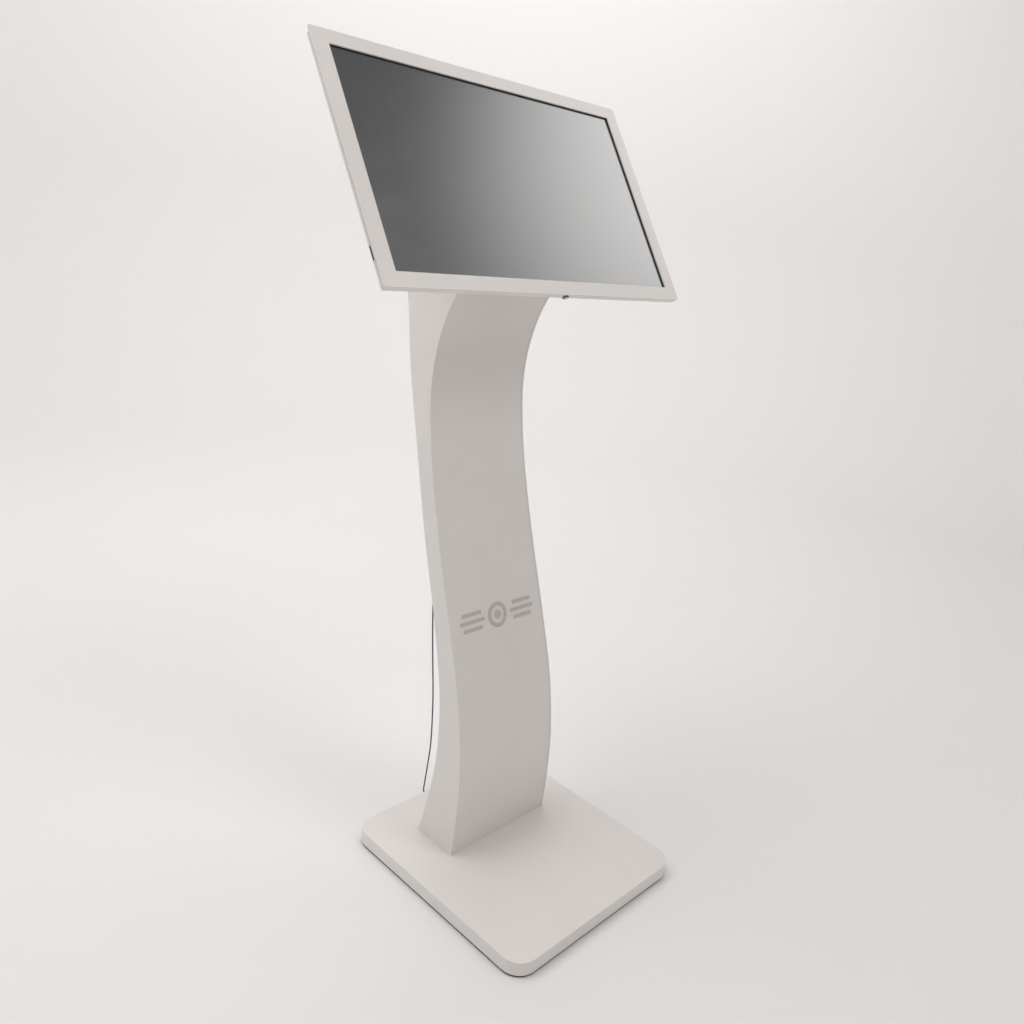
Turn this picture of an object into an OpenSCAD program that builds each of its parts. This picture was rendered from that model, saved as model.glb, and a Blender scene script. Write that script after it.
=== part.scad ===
// Touchscreen kiosk: a tilted 32-inch touch head on an S-curved steel column and a weighted base.
// Front faces -Y, +X is to the right, the floor is z = 0 under the middle of the base.

/* [Head] */
// Width of the visible glass
screen_w = 698; // [600:1:720]
// Height of the visible glass
screen_h = 393; // [340:1:405]
// Width of the side rails
side_rail_w = 32; // [28:1:40]
// Width of the top and bottom rails
end_rail_w = 27.5; // [24:0.5:36]
// Depth of the whole head
head_depth = 50; // [44:1:60]
// Lean of the screen from upright
screen_tilt = 33; // [25:1:40]
// Height of the screen's centre above the floor
screen_z = 1308; // [1280:1:1330]
// Distance of the screen's centre behind the middle of the base
screen_y = 192; // [185:1:200]

/* [Column] */
// Width of the column at its foot
foot_w = 262; // [240:1:280]
// Width of the column at the head
neck_w = 243; // [230:1:262]
// Thickness of the column's sheet steel
sheet_t = 2; // [1.5:0.5:2]

/* [Base] */
// Width of the base
base_w = 450; // [430:5:520]
// Depth of the base
base_d = 469; // [450:1:520]
// Height of the base's top face
base_top = 30; // [29:1:34]
// Radius of the base's corners
base_r = 40; // [20:1:60]
// Gap under the base, the height of the feet
foot_h = 4; // [3:1:5]

/* [Lead] */
// Diameter of the network lead
lead_d = 3; // [2.5:0.1:3]

/* [Hidden] */

$fn = 48;
big = 2000;

// head, measured in its own frame: x across, y back from the face, z up along the screen
half_w = screen_w / 2 + side_rail_w;
half_h = screen_h / 2 + end_rail_w;
head_corner_r = 3;
rail_t = 3;
seam = 1.2;
recess = 4;
lip_t = 1;
glass_t = 4;
glass_edge = 9;
lcd_t = 12;
leg_t = 3;
leg_depth = 22;
leg_w = screen_w / 2 + lip_t + glass_edge + 1;
leg_h = screen_h / 2 + lip_t + glass_edge + 1;
bar_t = 2;
bar_x = 180;
tray_t = 1.5;
tray_top = half_h - 9;
tray_bottom = half_h - 1;
side_bevel_y = 9;
end_bevel_y = 20;
bottom_bevel_y = 16;
side_bevel = 39;
end_bevel = 20;
tray_floor = head_depth - tray_t;

// column, seen from the side as [y, z] points from the foot up
front_points = [[47, 30], [44.5, 120], [50, 220], [73, 340], [119, 480], [175, 640], [221, 800],
    [240, 940], [216, 1060], [155, 1160], [90, 1225]];
rear_points = [[148, 30], [128, 120], [118, 220], [128, 340], [165, 480], [218, 640], [264, 800],
    [303, 940], [328, 1060], [353, 1160], [366, 1215], [360, 1268], [318, 1304], [250, 1349]];
curve_steps = 6;
front_recess = 1;
rear_recess = 0.5;
width_slope = (neck_w - foot_w) / 2 / 1130;
brace_z = [150, 390, 640, 890, 1090];
brace_t = 2;
brace_flange = 24;

pan_t = 2.5;
wall_t = 2;
bottom_t = 2;
ballast_t = 16;
pan_flange = 14;
pan_flange_t = 1.5;

neck_low = -138;
neck_high = 58;
neck_t = 5;
neck_half = 114;
neck_bolt_x = 90;
neck_bolt_z = [-112, 32];

hinge_x = [-230, 230];
hinge_len = 80;
hinge_y = 7.2;
hinge_z = half_h - 4.2;
hinge_r = 2.6;
pin_r = 1.5;
leaf_t = 1.2;
key_t = 1.5;
knuckle_gap = 0.4;

lock_x = 36;
lock_y = 10;
lock_r = 6;
lock_barrel_r = 5.2;
lock_plug_r = 3.4;
lock_nose = 3;
cam_t = 1.5;
cam_reach = 5.8;
cam_half = 2.8;
cam_top = leg_h + leg_t + 0.5;

inlet_z = 220;
inlet_w = 48;
inlet_h = 28;
rocker_x = -13;
rocker_r = 8.6;
rocker_pin_r = 1.2;

fan_x = -215;
fan_z = 130;
fan_size = 60;
fan_t = 15;
fan_shaft_r = 2;

card_z = -167;
card_w = 24;

lead_r = lead_d / 2;
grommet_x = -45;
grommet_z = 860;
coil_centre = [160, 285];
coil_r = 18;
coil_band = 15;
coil_h = 12;
lead_route = [[-45, 283, 859.5], [-45, 287, 858.4], [-45, 291.5, 856.6], [-45, 296, 853],
    [-45, 299.5, 846.5], [-45, 301, 837], [-45, 300, 815], [-45, 298, 780], [-45, 293, 740],
    [-45, 287, 690], [-45, 280, 630], [-46, 272, 560], [-47, 264, 490], [-47, 256, 420],
    [-44, 249, 345], [-39, 242, 260], [-35, 240, 190], [-32, 241, 135], [-31, 245, 85],
    [-30, 249, 45], [-28, 253, 22], [-22, 257, 8], [-11, 259, 2], [5, 259, 1.6], [30, 257, 1.6], [60, 256, 1.6], [90, 257, 1.6],
    [120, 259, 1.6], [137, 260.7, 1.6], [152, 261, 1.6]];
tail_route = [[168, 261, 10.6], [176, 261, 9.8], [184, 261, 7.4], [191, 261, 5],
    [198, 261, 4], [204, 261, 4]];
route_steps = 3;

// ---------- curves ----------

function blend4(a, b, c, d, t) =
    0.5 * (2 * b + (c - a) * t + (2 * a - 5 * b + 4 * c - d) * t * t + (3 * b - a - 3 * c + d) * t * t * t);
function at(p, i) = p[max(0, min(len(p) - 1, i))];
function curve(p, steps) = concat(
    [for (i = [0 : len(p) - 2], k = [0 : steps - 1])
        blend4(at(p, i - 1), p[i], p[i + 1], at(p, i + 2), k / steps)],
    [p[len(p) - 1]]);
function unit(v) = v / norm(v);
function direction(c, i) = unit(at(c, i + 1) - at(c, i - 1));
// moves a [y, z] curve sideways: positive to its right when walking up it, which is backwards
function shifted(c, d) = [for (i = [0 : len(c) - 1]) c[i] + d * [direction(c, i)[1], -direction(c, i)[0]]];
function reversed(c) = [for (i = [len(c) - 1 : -1 : 0]) c[i]];
function height_table(c) = [for (p = c) if (p[1] < 1200) [p[1], p[0]]];

front_curve = curve(front_points, curve_steps);
rear_curve = curve(rear_points, curve_steps);
front_table = height_table(front_curve);
rear_table = height_table(rear_curve);
function front_y(z) = lookup(z, front_table);
function rear_y(z) = lookup(z, rear_table);
function front_lean(z) = atan((front_y(z + 10) - front_y(z - 10)) / 20);
function rear_lean(z) = atan((rear_y(z + 10) - rear_y(z - 10)) / 20);
function half_width(z) = foot_w / 2 + width_slope * (z - base_top);

// ---------- shared shapes ----------

module in_head() {
    translate([0, screen_y, screen_z]) rotate([-screen_tilt, 0, 0]) children();
}

// a [y, z] outline drawn out across the column
module side_profile(outline) {
    rotate([90, 0, 90]) linear_extrude(height = 400, center = true) polygon(outline);
}

// everything between the column's sides, less a margin on each
module between_sides(margin) {
    rotate([90, 0, 0]) linear_extrude(height = big, center = true)
        polygon([for (p = [[-1, 0], [1, 0], [1, 1450], [-1, 1450]]) [p[0] * (half_width(p[1]) - margin), p[1]]]);
}

// the space in front of the head's back face
module head_space() {
    in_head() translate([-half_w, head_depth - 400, -half_h]) cube([2 * half_w, 400, 2 * half_h]);
}

module rounded_plate(w, d, h, r) {
    linear_extrude(height = h) rounded_rect(w, d, r);
}

module rounded_rect(w, d, r) {
    square([w - 2 * r, d], center = true);
    square([w, d - 2 * r], center = true);
    for (x = [-1, 1], y = [-1, 1]) translate([x * (w / 2 - r), y * (d / 2 - r)]) circle(r);
}

// a plate parallel to the screen, from depth y to y + t
module screen_plate(y, t) {
    translate([0, y + t, 0]) rotate([90, 0, 0]) linear_extrude(height = t) children();
}

module box(x, y, z) {
    translate([x[0], y[0], z[0]]) cube([x[1] - x[0], y[1] - y[0], z[1] - z[0]]);
}

// a cylinder along y, from y[0] to y[1]
module rod_y(x, y, z, r) {
    translate([x, y[0], z]) rotate([-90, 0, 0]) cylinder(h = y[1] - y[0], r = r);
}

module rod_x(x, y, z, r) {
    translate([x[0], y, z]) rotate([0, 90, 0]) cylinder(h = x[1] - x[0], r = r);
}

module rod_z(x, y, z, r) {
    translate([x, y, z[0]]) cylinder(h = z[1] - z[0], r = r);
}

// children's own +z points out of the column's rear face at height z
module on_rear(x, z) {
    translate([x, rear_y(z), z]) rotate([-90 - rear_lean(z), 0, 0]) children();
}

module paint() { color([0.80, 0.78, 0.76]) children(); }
module steel() { color([0.62, 0.63, 0.65]) children(); }
module zinc() { color([0.72, 0.72, 0.70]) children(); }
module black() { color([0.08, 0.08, 0.09]) children(); }

// ---------- base ----------

module base_pan() {
    inner_w = base_w - 2 * wall_t;
    inner_d = base_d - 2 * wall_t;
    flange_z = foot_h + bottom_t;
    paint() difference() {
        union() {
            difference() {
                translate([0, 0, foot_h]) rounded_plate(base_w, base_d, base_top - foot_h, base_r);
                translate([0, 0, foot_h - 1])
                    rounded_plate(inner_w, inner_d, base_top - pan_t - foot_h + 1, base_r - wall_t);
            }
            difference() {
                translate([0, 0, flange_z])
                    rounded_plate(base_w - wall_t, base_d - wall_t, pan_flange_t, base_r - 1);
                translate([0, 0, flange_z - 1]) rounded_plate(inner_w - 2 * pan_flange,
                    inner_d - 2 * pan_flange, pan_flange_t + 2, base_r - wall_t - pan_flange);
            }
        }
        for (p = base_screw_places()) rod_z(p[0], p[1], [foot_h, 12], 2.1);
        for (p = foot_bolt_places()) rod_z(p[0], p[1], [20, 40], 4.4);
    }
}

function foot_y() = (front_points[0][0] + rear_points[0][0]) / 2;
function foot_bolt_places() = [for (x = [-95, 95], y = [-26, 26]) [x, foot_y() + y]];
function base_screw_places() = let(x = base_w / 2 - 10, y = base_d / 2 - 10)
    [[-x, -120], [-x, 120], [x, -120], [x, 120], [-110, -y], [110, -y], [-110, y], [110, y]];

module base_bottom_plate() {
    zinc() difference() {
        translate([0, 0, foot_h])
            rounded_plate(base_w - 2 * wall_t - 1, base_d - 2 * wall_t - 1, bottom_t, base_r - wall_t - 0.5);
        for (p = base_screw_places()) rod_z(p[0], p[1], [foot_h - 1, foot_h + 4], 2.3);
    }
}

module ballast_plate() {
    steel() translate([0, 0, foot_h + bottom_t]) rounded_plate(base_w - 70, base_d - 69, ballast_t, 8);
}

module rubber_feet() {
    black() {
        cylinder(h = foot_h, r = 16);
        for (x = [-1, 1], y = [-1, 1])
            translate([x * (base_w / 2 - 34), y * (base_d / 2 - 34), 0]) cylinder(h = foot_h, r = 16);
    }
}

module base_screws() {
    zinc() for (p = base_screw_places()) {
        rod_z(p[0], p[1], [foot_h - 1.6, foot_h], 4);
        rod_z(p[0], p[1], [foot_h, 11], 1.9);
    }
}

// ---------- column ----------

module column_side(side) {
    outline = concat(front_curve, reversed(rear_curve));
    paint() difference() {
        intersection() {
            side_profile(outline);
            between_sides(0);
        }
        between_sides(sheet_t);
        translate([side * -big, 0, 0]) cube(2 * big, center = true);
        head_space();
    }
}

module column_side_left() { column_side(-1); }
module column_side_right() { column_side(1); }

module sheet_between(from_curve, to_curve) {
    difference() {
        intersection() {
            side_profile(concat(from_curve, reversed(to_curve)));
            between_sides(sheet_t);
            translate([-big, -big, base_top]) cube(2 * big);
        }
        head_space();
    }
}

module column_front_panel() {
    paint() sheet_between(shifted(front_curve, front_recess), shifted(front_curve, front_recess + sheet_t));
}

module column_rear_panel() {
    paint() difference() {
        sheet_between(shifted(rear_curve, -rear_recess - sheet_t), shifted(rear_curve, -rear_recess));
        for (z = brace_z, x = [-1, 1]) on_rear(x * (half_width(z) - 20), z) cylinder(h = 20, r = 2.7, center = true);
        on_rear(grommet_x, grommet_z) cylinder(h = 20, r = 5, center = true);
        translate([0, rear_y(inlet_z), inlet_z]) cube([inlet_w - 8, 20, inlet_h - 6], center = true);
    }
}

module column_braces() {
    behind_front = shifted(front_curve, front_recess + sheet_t + 0.5);
    flange_face = shifted(rear_curve, -rear_recess - sheet_t);
    flange_back = shifted(rear_curve, -rear_recess - sheet_t - brace_t);
    zinc() for (z = brace_z) difference() {
        union() {
            intersection() {
                side_profile(concat(flange_back, reversed(flange_face)));
                between_sides(sheet_t + 0.5);
                translate([-big / 2, -big / 2, z - brace_flange / 2]) cube([big, big, brace_flange]);
            }
            intersection() {
                side_profile(concat(behind_front, reversed(flange_face)));
                between_sides(sheet_t + 0.5);
                translate([-big / 2, -big / 2, z + brace_flange / 2 - brace_t]) cube([big, big, brace_t]);
            }
        }
        for (x = [-1, 1]) on_rear(x * (half_width(z) - 20), z) cylinder(h = 20, r = 2.5, center = true);
        translate([0, (front_y(z) + rear_y(z)) / 2, z + 10]) cube([60, 18, 14], center = true);
    }
}

module rear_panel_screws() {
    zinc() for (z = brace_z, x = [-1, 1]) on_rear(x * (half_width(z) - 20), z) {
        translate([0, 0, 0.15 - rear_recess]) cylinder(h = 2.4, r1 = 4.7, r2 = 3.2);
        translate([0, 0, -8]) cylinder(h = 8.15 - rear_recess, r = 2.4);
    }
}

module foot_plate() {
    steel() difference() {
        translate([0, foot_y(), base_top + 3]) cube([foot_w - 14, 84, 6], center = true);
        for (p = foot_bolt_places()) rod_z(p[0], p[1], [20, 50], 4.2);
    }
}

module foot_bolts() {
    zinc() for (p = foot_bolt_places()) {
        translate([p[0], p[1], base_top - pan_t - 5]) cylinder(h = 5, r = 7, $fn = 6);
        rod_z(p[0], p[1], [base_top - pan_t, base_top + 12], 4);
        translate([p[0], p[1], base_top + 6]) cylinder(h = 5, r = 7, $fn = 6);
    }
}

// a ring and dot between two stacks of bars
module emblem() {
    z = 481;
    color([0.66, 0.63, 0.58]) translate([0, front_y(z) + front_recess, z]) rotate([90 - front_lean(z), 0, 0])
        translate([0, 0, 0.2]) linear_extrude(height = 0.6) {
            difference() {
                circle(25);
                circle(17.5);
            }
            circle(9);
            for (side = [-1, 1], row = [-1, 0, 1])
                translate([side * 68, row * 15]) square([64 - 14 * abs(row), 7], center = true);
        }
}

module mains_inlet() {
    y = rear_y(inlet_z) - rear_recess;
    black() difference() {
        union() {
            box([-inlet_w / 2, inlet_w / 2], [y + 0.4, y + 2.9], [inlet_z - inlet_h / 2, inlet_z + inlet_h / 2]);
            box([-inlet_w / 2 + 4.5, inlet_w / 2 - 4.5], [y - 26, y + 0.4],
                [inlet_z - inlet_h / 2 + 3.5, inlet_z + inlet_h / 2 - 3.5]);
        }
        box([-2, 19], [y - 16, y + 10], [inlet_z - 9, inlet_z + 9]);
        box([rocker_x - 5.2, rocker_x + 5.2], [y - 14, y + 10], [inlet_z - 9, inlet_z + 9]);
        rod_x([rocker_x - 6.1, rocker_x + 6.1], y - 4, inlet_z, rocker_pin_r + 0.05);
    }
    zinc() for (x = [2.5, 8.5, 14.5])
        box([x - 1, x + 1], [y - 16, y - 2], [inlet_z - (x == 8.5 ? 4 : 0), inlet_z + (x == 8.5 ? 0 : 4)]);
}

module mains_rocker() {
    y = rear_y(inlet_z) - rear_recess;
    color([0.10, 0.10, 0.11]) translate([rocker_x, y - 4, inlet_z]) rotate([12, 0, 0]) {
        intersection() {
            rotate([90, 0, 90]) linear_extrude(height = 9.6, center = true)
                polygon([[-5, -7], [3.5, -7.4], [6, -7.4], [4.6, 0], [6, 7.4], [3.5, 7.4], [-5, 7]]);
            rotate([0, 90, 0]) cylinder(h = 20, r = rocker_r, center = true);
        }
        rod_x([-6, 6], 0, 0, rocker_pin_r);
    }
}

module lead_grommet() {
    black() on_rear(grommet_x, grommet_z) difference() {
        union() {
            translate([0, 0, 0.15 - rear_recess]) cylinder(h = 1.5, r = 7.5);
            translate([0, 0, -rear_recess - sheet_t - 0.3]) cylinder(h = sheet_t + 0.6, r = 4.9);
            translate([0, 0, 1.5 - rear_recess]) cylinder(h = 5, r1 = 4.5, r2 = 2.8);
            translate([0, 0, -rear_recess - sheet_t - 1.65]) cylinder(h = 1.5, r = 7);
        }
        cylinder(h = 40, r = lead_r + 0.05, center = true);
    }
}

module neck_plate() {
    steel() in_head() difference() {
        box([-neck_half, neck_half], [head_depth, head_depth + neck_t], [neck_low, neck_high]);
        box([-60, 60], [head_depth - 1, head_depth + neck_t + 1], [-70, -10]);
        for (x = [-1, 1], z = neck_bolt_z) rod_y(x * neck_bolt_x, [head_depth - 1, head_depth + neck_t + 1], z, 3.3);
    }
}

module neck_bolts() {
    zinc() in_head() for (x = [-1, 1], z = neck_bolt_z) {
        rod_y(x * neck_bolt_x, [tray_floor - 6.5, tray_floor - 2.5], z, 5.5);
        rod_y(x * neck_bolt_x, [tray_floor - 2.5, head_depth + neck_t + 9], z, 3);
    }
}

module neck_nuts() {
    zinc() in_head() for (x = [-1, 1], z = neck_bolt_z) translate([x * neck_bolt_x, head_depth + neck_t, z])
        rotate([-90, 0, 0]) difference() {
            cylinder(h = 5, r = 5.8, $fn = 6);
            translate([0, 0, -1]) cylinder(h = 8, r = 3.05);
        }
}

// ---------- head, fixed half ----------

// the tray's solid form, smaller by i all round
module tray_form(i, front) {
    bottom = tray_bottom - i;
    top = tray_top - i;
    back = head_depth - i;
    w = half_w - i;
    intersection() {
        rotate([90, 0, 90]) linear_extrude(height = big, center = true)
            polygon([[front, -bottom], [bottom_bevel_y, -bottom], [back, end_bevel - bottom],
                [back, top - end_bevel], [end_bevel_y, top], [front, top]]);
        linear_extrude(height = big, center = true)
            polygon([[-w, front], [w, front], [w, side_bevel_y], [w - side_bevel, back],
                [side_bevel - w, back], [-w, side_bevel_y]]);
        screen_plate(front - 1, back + 2 - front) translate([0, (top - bottom) / 2])
            rounded_rect(2 * w, top + bottom, head_corner_r - i);
    }
}

module vent_rows(x, z, columns, rows, length, pitch) {
    for (c = [0 : columns - 1], r = [0 : rows - 1])
        translate([x + c * (length + 8), head_depth, z + r * pitch]) cube([length, 20, 3], center = true);
}

module head_tray() {
    paint() in_head() difference() {
        tray_form(0, rail_t + seam);
        tray_form(tray_t, -5);
        // the top wall stops short of the moving hinge leaves
        box([-half_w + 6, half_w - 6], [0, 6], [tray_top - 5, tray_top + 1]);
        rod_z(lock_x, lock_y, [-half_h - 5, -half_h + 15], lock_barrel_r + 0.1);
        box([-half_w - 1, -half_w + 6], [4.6, 7.4], [card_z - card_w / 2 - 0.2, card_z + card_w / 2 + 0.2]);
        box([-60, 60], [head_depth - 5, head_depth + 5], [-70, -10]);
        for (x = [-1, 1], z = neck_bolt_z) rod_y(x * neck_bolt_x, [head_depth - 5, head_depth + 5], z, 3.3);
        for (ring = [9, 17, 25], a = [0 : 45 : 315])
            rod_y(fan_x + ring * cos(a + ring), [head_depth - 5, head_depth + 5], fan_z + ring * sin(a + ring), 2.4);
        vent_rows(120, 95, 5, 6, 28, 12);
        for (side = [-1, 1]) vent_rows(side * 250 - 36, -163, 3, 4, 28, 9);
    }
}

module mounting_plate() {
    steel() in_head() difference() {
        box([-106, 106], [tray_floor - 2.5, tray_floor], [neck_low + 10, neck_high - 10]);
        box([-60, 60], [tray_floor - 5, tray_floor + 5], [-70, -10]);
        for (x = [-1, 1], z = neck_bolt_z) rod_y(x * neck_bolt_x, [tray_floor - 5, tray_floor + 5], z, 3.3);
    }
}

module main_board() {
    in_head() {
        color([0.10, 0.32, 0.20]) box([-300, -130], [42, 43.6], [-20, 90]);
        zinc() for (x = [-295, -135], z = [-15, 85]) rod_y(x, [43.6, tray_floor], z, 3);
        steel() box([-250, -210], [34, 42], [20, 60]);
        black() {
            box([-195, -150], [38, 42], [0, 12]);
            box([-195, -150], [38, 42], [18, 30]);
        }
        zinc() for (x = [-290, -270, -250]) box([x, x + 15], [31, 42], [-20, -2]);
    }
}

module power_supply() {
    zinc() in_head() difference() {
        box([140, 300], [tray_floor - 20, tray_floor], [-20, 62]);
        for (x = [160 : 12 : 280]) box([x, x + 5], [tray_floor - 21, tray_floor - 18], [-5, 47]);
    }
}

module speakers() {
    black() in_head() for (side = [-1, 1]) difference() {
        box([side * 250 - 52, side * 250 + 52], [tray_floor - 16, tray_floor], [-172, -128]);
        for (x = [-28, 28]) rod_y(side * 250 + x, [tray_floor - 3, tray_floor + 1], -150, 17);
    }
}

module fan_housing() {
    black() in_head() translate([fan_x, 0, fan_z]) difference() {
        box([-fan_size / 2, fan_size / 2], [tray_floor - fan_t, tray_floor], [-fan_size / 2, fan_size / 2]);
        difference() {
            rod_y(0, [tray_floor - fan_t - 1, tray_floor + 1], 0, 28);
            rod_y(0, [tray_floor - fan_t, tray_floor - fan_t + 2.5], 0, 12);
            rod_y(0, [tray_floor - fan_t, tray_floor - 4], 0, fan_shaft_r);
            for (a = [0, 120, 240]) rotate([0, a, 0])
                box([0, 29], [tray_floor - fan_t, tray_floor - fan_t + 2], [-1.5, 1.5]);
        }
    }
}

module fan_rotor() {
    black() in_head() translate([fan_x, 0, fan_z]) difference() {
        union() {
            rod_y(0, [tray_floor - fan_t + 3, tray_floor - 1.5], 0, 13);
            for (a = [0 : 360 / 7 : 359]) rotate([0, a, 0]) translate([19.5, tray_floor - 6.5, 0])
                rotate([35, 0, 0]) cube([15, 1.2, 10], center = true);
        }
        rod_y(0, [tray_floor - fan_t, tray_floor - 3.5], 0, fan_shaft_r + 0.05);
    }
}

module card_reader() {
    black() in_head() difference() {
        union() {
            box([-half_w + tray_t + 0.1, -leg_w - leg_t - 1.5], [4.2, 8.6], [card_z - 15, card_z + 15]);
            box([-half_w - 0.2, -half_w + 3], [4.7, 7.3], [card_z - card_w / 2, card_z + card_w / 2]);
        }
        box([-half_w - 1, -half_w + 13], [5.1, 6.9], [card_z - card_w / 2 + 0.6, card_z + card_w / 2 - 0.6]);
    }
}

module lock_body() {
    color([0.30, 0.30, 0.31]) in_head() difference() {
        union() {
            rod_z(lock_x, lock_y, [-tray_bottom - lock_nose, -tray_bottom], lock_r);
            rod_z(lock_x, lock_y, [-tray_bottom, -cam_top - cam_t - 0.1], lock_barrel_r);
        }
        rod_z(lock_x, lock_y, [-half_h - 10, -half_h + 20], lock_plug_r + 0.05);
    }
}

module lock_plug() {
    zinc() in_head() {
        difference() {
            rod_z(lock_x, lock_y, [-tray_bottom - lock_nose + 0.3, -cam_top], lock_plug_r);
            box([lock_x - 0.5, lock_x + 0.5], [lock_y - 2.4, lock_y + 2.4], [-half_h - 5, -tray_bottom + 1]);
        }
        box([lock_x - cam_reach, lock_x], [lock_y - cam_half, lock_y + cam_half], [-cam_top - cam_t, -cam_top]);
    }
}

// knuckle spans along a hinge, as fractions of its length: outer pair fixed, middle one moving
function fixed_spans(x) = [[x - hinge_len / 2, x - 14], [x + 14, x + hinge_len / 2]];
function moving_span(x) = [x - 14 + knuckle_gap, x + 14 - knuckle_gap];

module hinge_leaves_fixed() {
    zinc() in_head() for (x = hinge_x) difference() {
        union() {
            box([x - hinge_len / 2, x + hinge_len / 2], [hinge_y, end_bevel_y - 1], [tray_top, tray_top + leaf_t]);
            for (span = fixed_spans(x)) {
                rod_x(span, hinge_y, hinge_z, hinge_r);
                box(span, [hinge_y, hinge_y + hinge_r], [tray_top, hinge_z]);
            }
        }
        rod_x([x - 50, x + 50], hinge_y, hinge_z, pin_r);
        rod_x(moving_span(x) + [-knuckle_gap, knuckle_gap], hinge_y, hinge_z, hinge_r + 0.4);
    }
}

module hinge_pins() {
    steel() in_head() for (x = hinge_x) rod_x([x - hinge_len / 2, x + hinge_len / 2], hinge_y, hinge_z, pin_r);
}

module hinge_leaves_moving() {
    zinc() in_head() for (x = hinge_x) difference() {
        union() {
            box([x - hinge_len / 2, x + hinge_len / 2], [rail_t, rail_t + leaf_t],
                [leg_h + leg_t + 0.2, hinge_z + hinge_r]);
            rod_x(moving_span(x), hinge_y, hinge_z, hinge_r);
            box(moving_span(x), [rail_t, hinge_y], [hinge_z - hinge_r, hinge_z]);
        }
        rod_x([x - 50, x + 50], hinge_y, hinge_z, pin_r + 0.05);
    }
}

module hinge_screws() {
    zinc() in_head() for (x = hinge_x, k = [-1, 0, 1])
        rod_z(x + k * 28, end_bevel_y - 4.5, [tray_top + leaf_t, tray_top + leaf_t + 1], 2.2);
}

// ---------- head, opening front ----------

module frame_ring(outer_w, outer_h, inner_w, inner_h, outer_r, y, t) {
    screen_plate(y, t) difference() {
        rounded_rect(2 * outer_w, 2 * outer_h, outer_r);
        square([2 * inner_w, 2 * inner_h], center = true);
    }
}

// one side of the mitred frame: the corner cut runs from the outer to the inner corner
module mitred(quarter) {
    mitre = 0.06;
    iw = screen_w / 2 + lip_t;
    ih = screen_h / 2 + lip_t;
    outline = quarter == "top" ? [[-half_w + mitre, half_h], [half_w - mitre, half_h], [iw - mitre, ih], [mitre - iw, ih]]
        : quarter == "bottom" ? [[mitre - half_w, -half_h], [mitre - iw, -ih], [iw - mitre, -ih], [half_w - mitre, -half_h]]
        : quarter == "left" ? [[-half_w, half_h - mitre], [-iw, ih - mitre], [-iw, mitre - ih], [-half_w, mitre - half_h]]
        : [[half_w, half_h - mitre], [iw, ih - mitre], [iw, mitre - ih], [half_w, mitre - half_h]];
    paint() in_head() intersection() {
        children();
        screen_plate(-1, 60) polygon(outline);
    }
}

// a rail's flat face
module rail(quarter) {
    mitred(quarter)
        frame_ring(half_w, half_h, screen_w / 2 + lip_t, screen_h / 2 + lip_t, head_corner_r, 0, rail_t);
}

// the leg welded behind a rail's inner edge
module leg(quarter) {
    mitred(quarter)
        frame_ring(leg_w + leg_t, leg_h + leg_t, leg_w, leg_h, 0.5, rail_t, leg_depth - rail_t);
}

module rail_top() { rail("top"); }
module rail_bottom() { rail("bottom"); }
module rail_left() { rail("left"); }
module rail_right() { rail("right"); }
module leg_top() { leg("top"); }
module leg_bottom() { leg("bottom"); }
module leg_left() { leg("left"); }
module leg_right() { leg("right"); }

module corner_keys() {
    inner_x = leg_w + leg_t + 0.5;
    inner_z = leg_h + leg_t + 0.5;
    zinc() in_head() for (x = [-1, 1], z = [-1, 1]) screen_plate(rail_t, key_t) to_corner(x, z) {
        translate([inner_x, inner_z - 25]) square([10, 29]);
        translate([inner_x - 40, inner_z]) square([50, 4]);
    }
}

// the top right corner's shape turned over to another corner
module to_corner(x, z) {
    mirror([x < 0 ? 1 : 0, 0]) mirror([0, z < 0 ? 1 : 0]) children();
}

module glass_gasket() {
    w = screen_w / 2;
    h = screen_h / 2;
    black() in_head() {
        frame_ring(w + lip_t, h + lip_t, w, h, 0.5, 2.4, recess - 2.4);
        frame_ring(w + lip_t + glass_edge, h + lip_t + glass_edge, w + 0.5, h + 0.5, 2, rail_t, recess - rail_t);
    }
}

module touch_glass() {
    color([0.10, 0.11, 0.12]) in_head() screen_plate(recess, glass_t)
        rounded_rect(2 * (leg_w - 1), 2 * (leg_h - 1), 2);
}

module lcd_panel() {
    y = recess + glass_t + 1;
    steel() in_head() screen_plate(y, lcd_t) rounded_rect(2 * (leg_w - 2), 2 * (leg_h - 2), 2);
}

module lcd_bars() {
    y = recess + glass_t + 1 + lcd_t;
    zinc() in_head() for (side = [-1, 1]) difference() {
        box([side * bar_x - 10, side * bar_x + 10], [y, y + bar_t], [-leg_h + 0.1, leg_h - 0.1]);
        for (z = bar_screw_z()) rod_y(side * bar_x, [y - 1, y + bar_t + 1], z, 2.2);
    }
}

function bar_screw_z() = [-170, -20, 20, 170];

module lcd_screws() {
    y = recess + glass_t + 1 + lcd_t;
    zinc() in_head() for (side = [-1, 1], z = bar_screw_z()) {
        rod_y(side * bar_x, [y + bar_t, y + bar_t + 2], z, 3.8);
        rod_y(side * bar_x, [y, y + bar_t], z, 2);
    }
}

module touch_controller() {
    y = recess + glass_t + 1 + lcd_t + bar_t;
    in_head() {
        color([0.10, 0.32, 0.20]) box([bar_x - 15, bar_x + 15], [y + 1.5, y + 3], [-110, -50]);
        black() box([bar_x - 6, bar_x + 6], [y + 3, y + 4], [-90, -78]);
        zinc() for (z = [-105, -55]) rod_y(bar_x, [y, y + 1.5], z, 3);
    }
}

// a tab under the bottom leg: the cam stands in front of it after half a turn
module lock_catch() {
    leg_face = -leg_h - leg_t;
    tab_x = lock_x + lock_plug_r + 0.4;
    tab_y = lock_y + cam_half + 0.3;
    zinc() in_head() {
        box([tab_x, lock_x + 9], [tab_y, tab_y + 2], [-cam_top - cam_t + 0.3, leg_face]);
        box([lock_x + 8, lock_x + 24], [tab_y, tab_y + 8], [leg_face - 1.4, leg_face]);
    }
}

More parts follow.
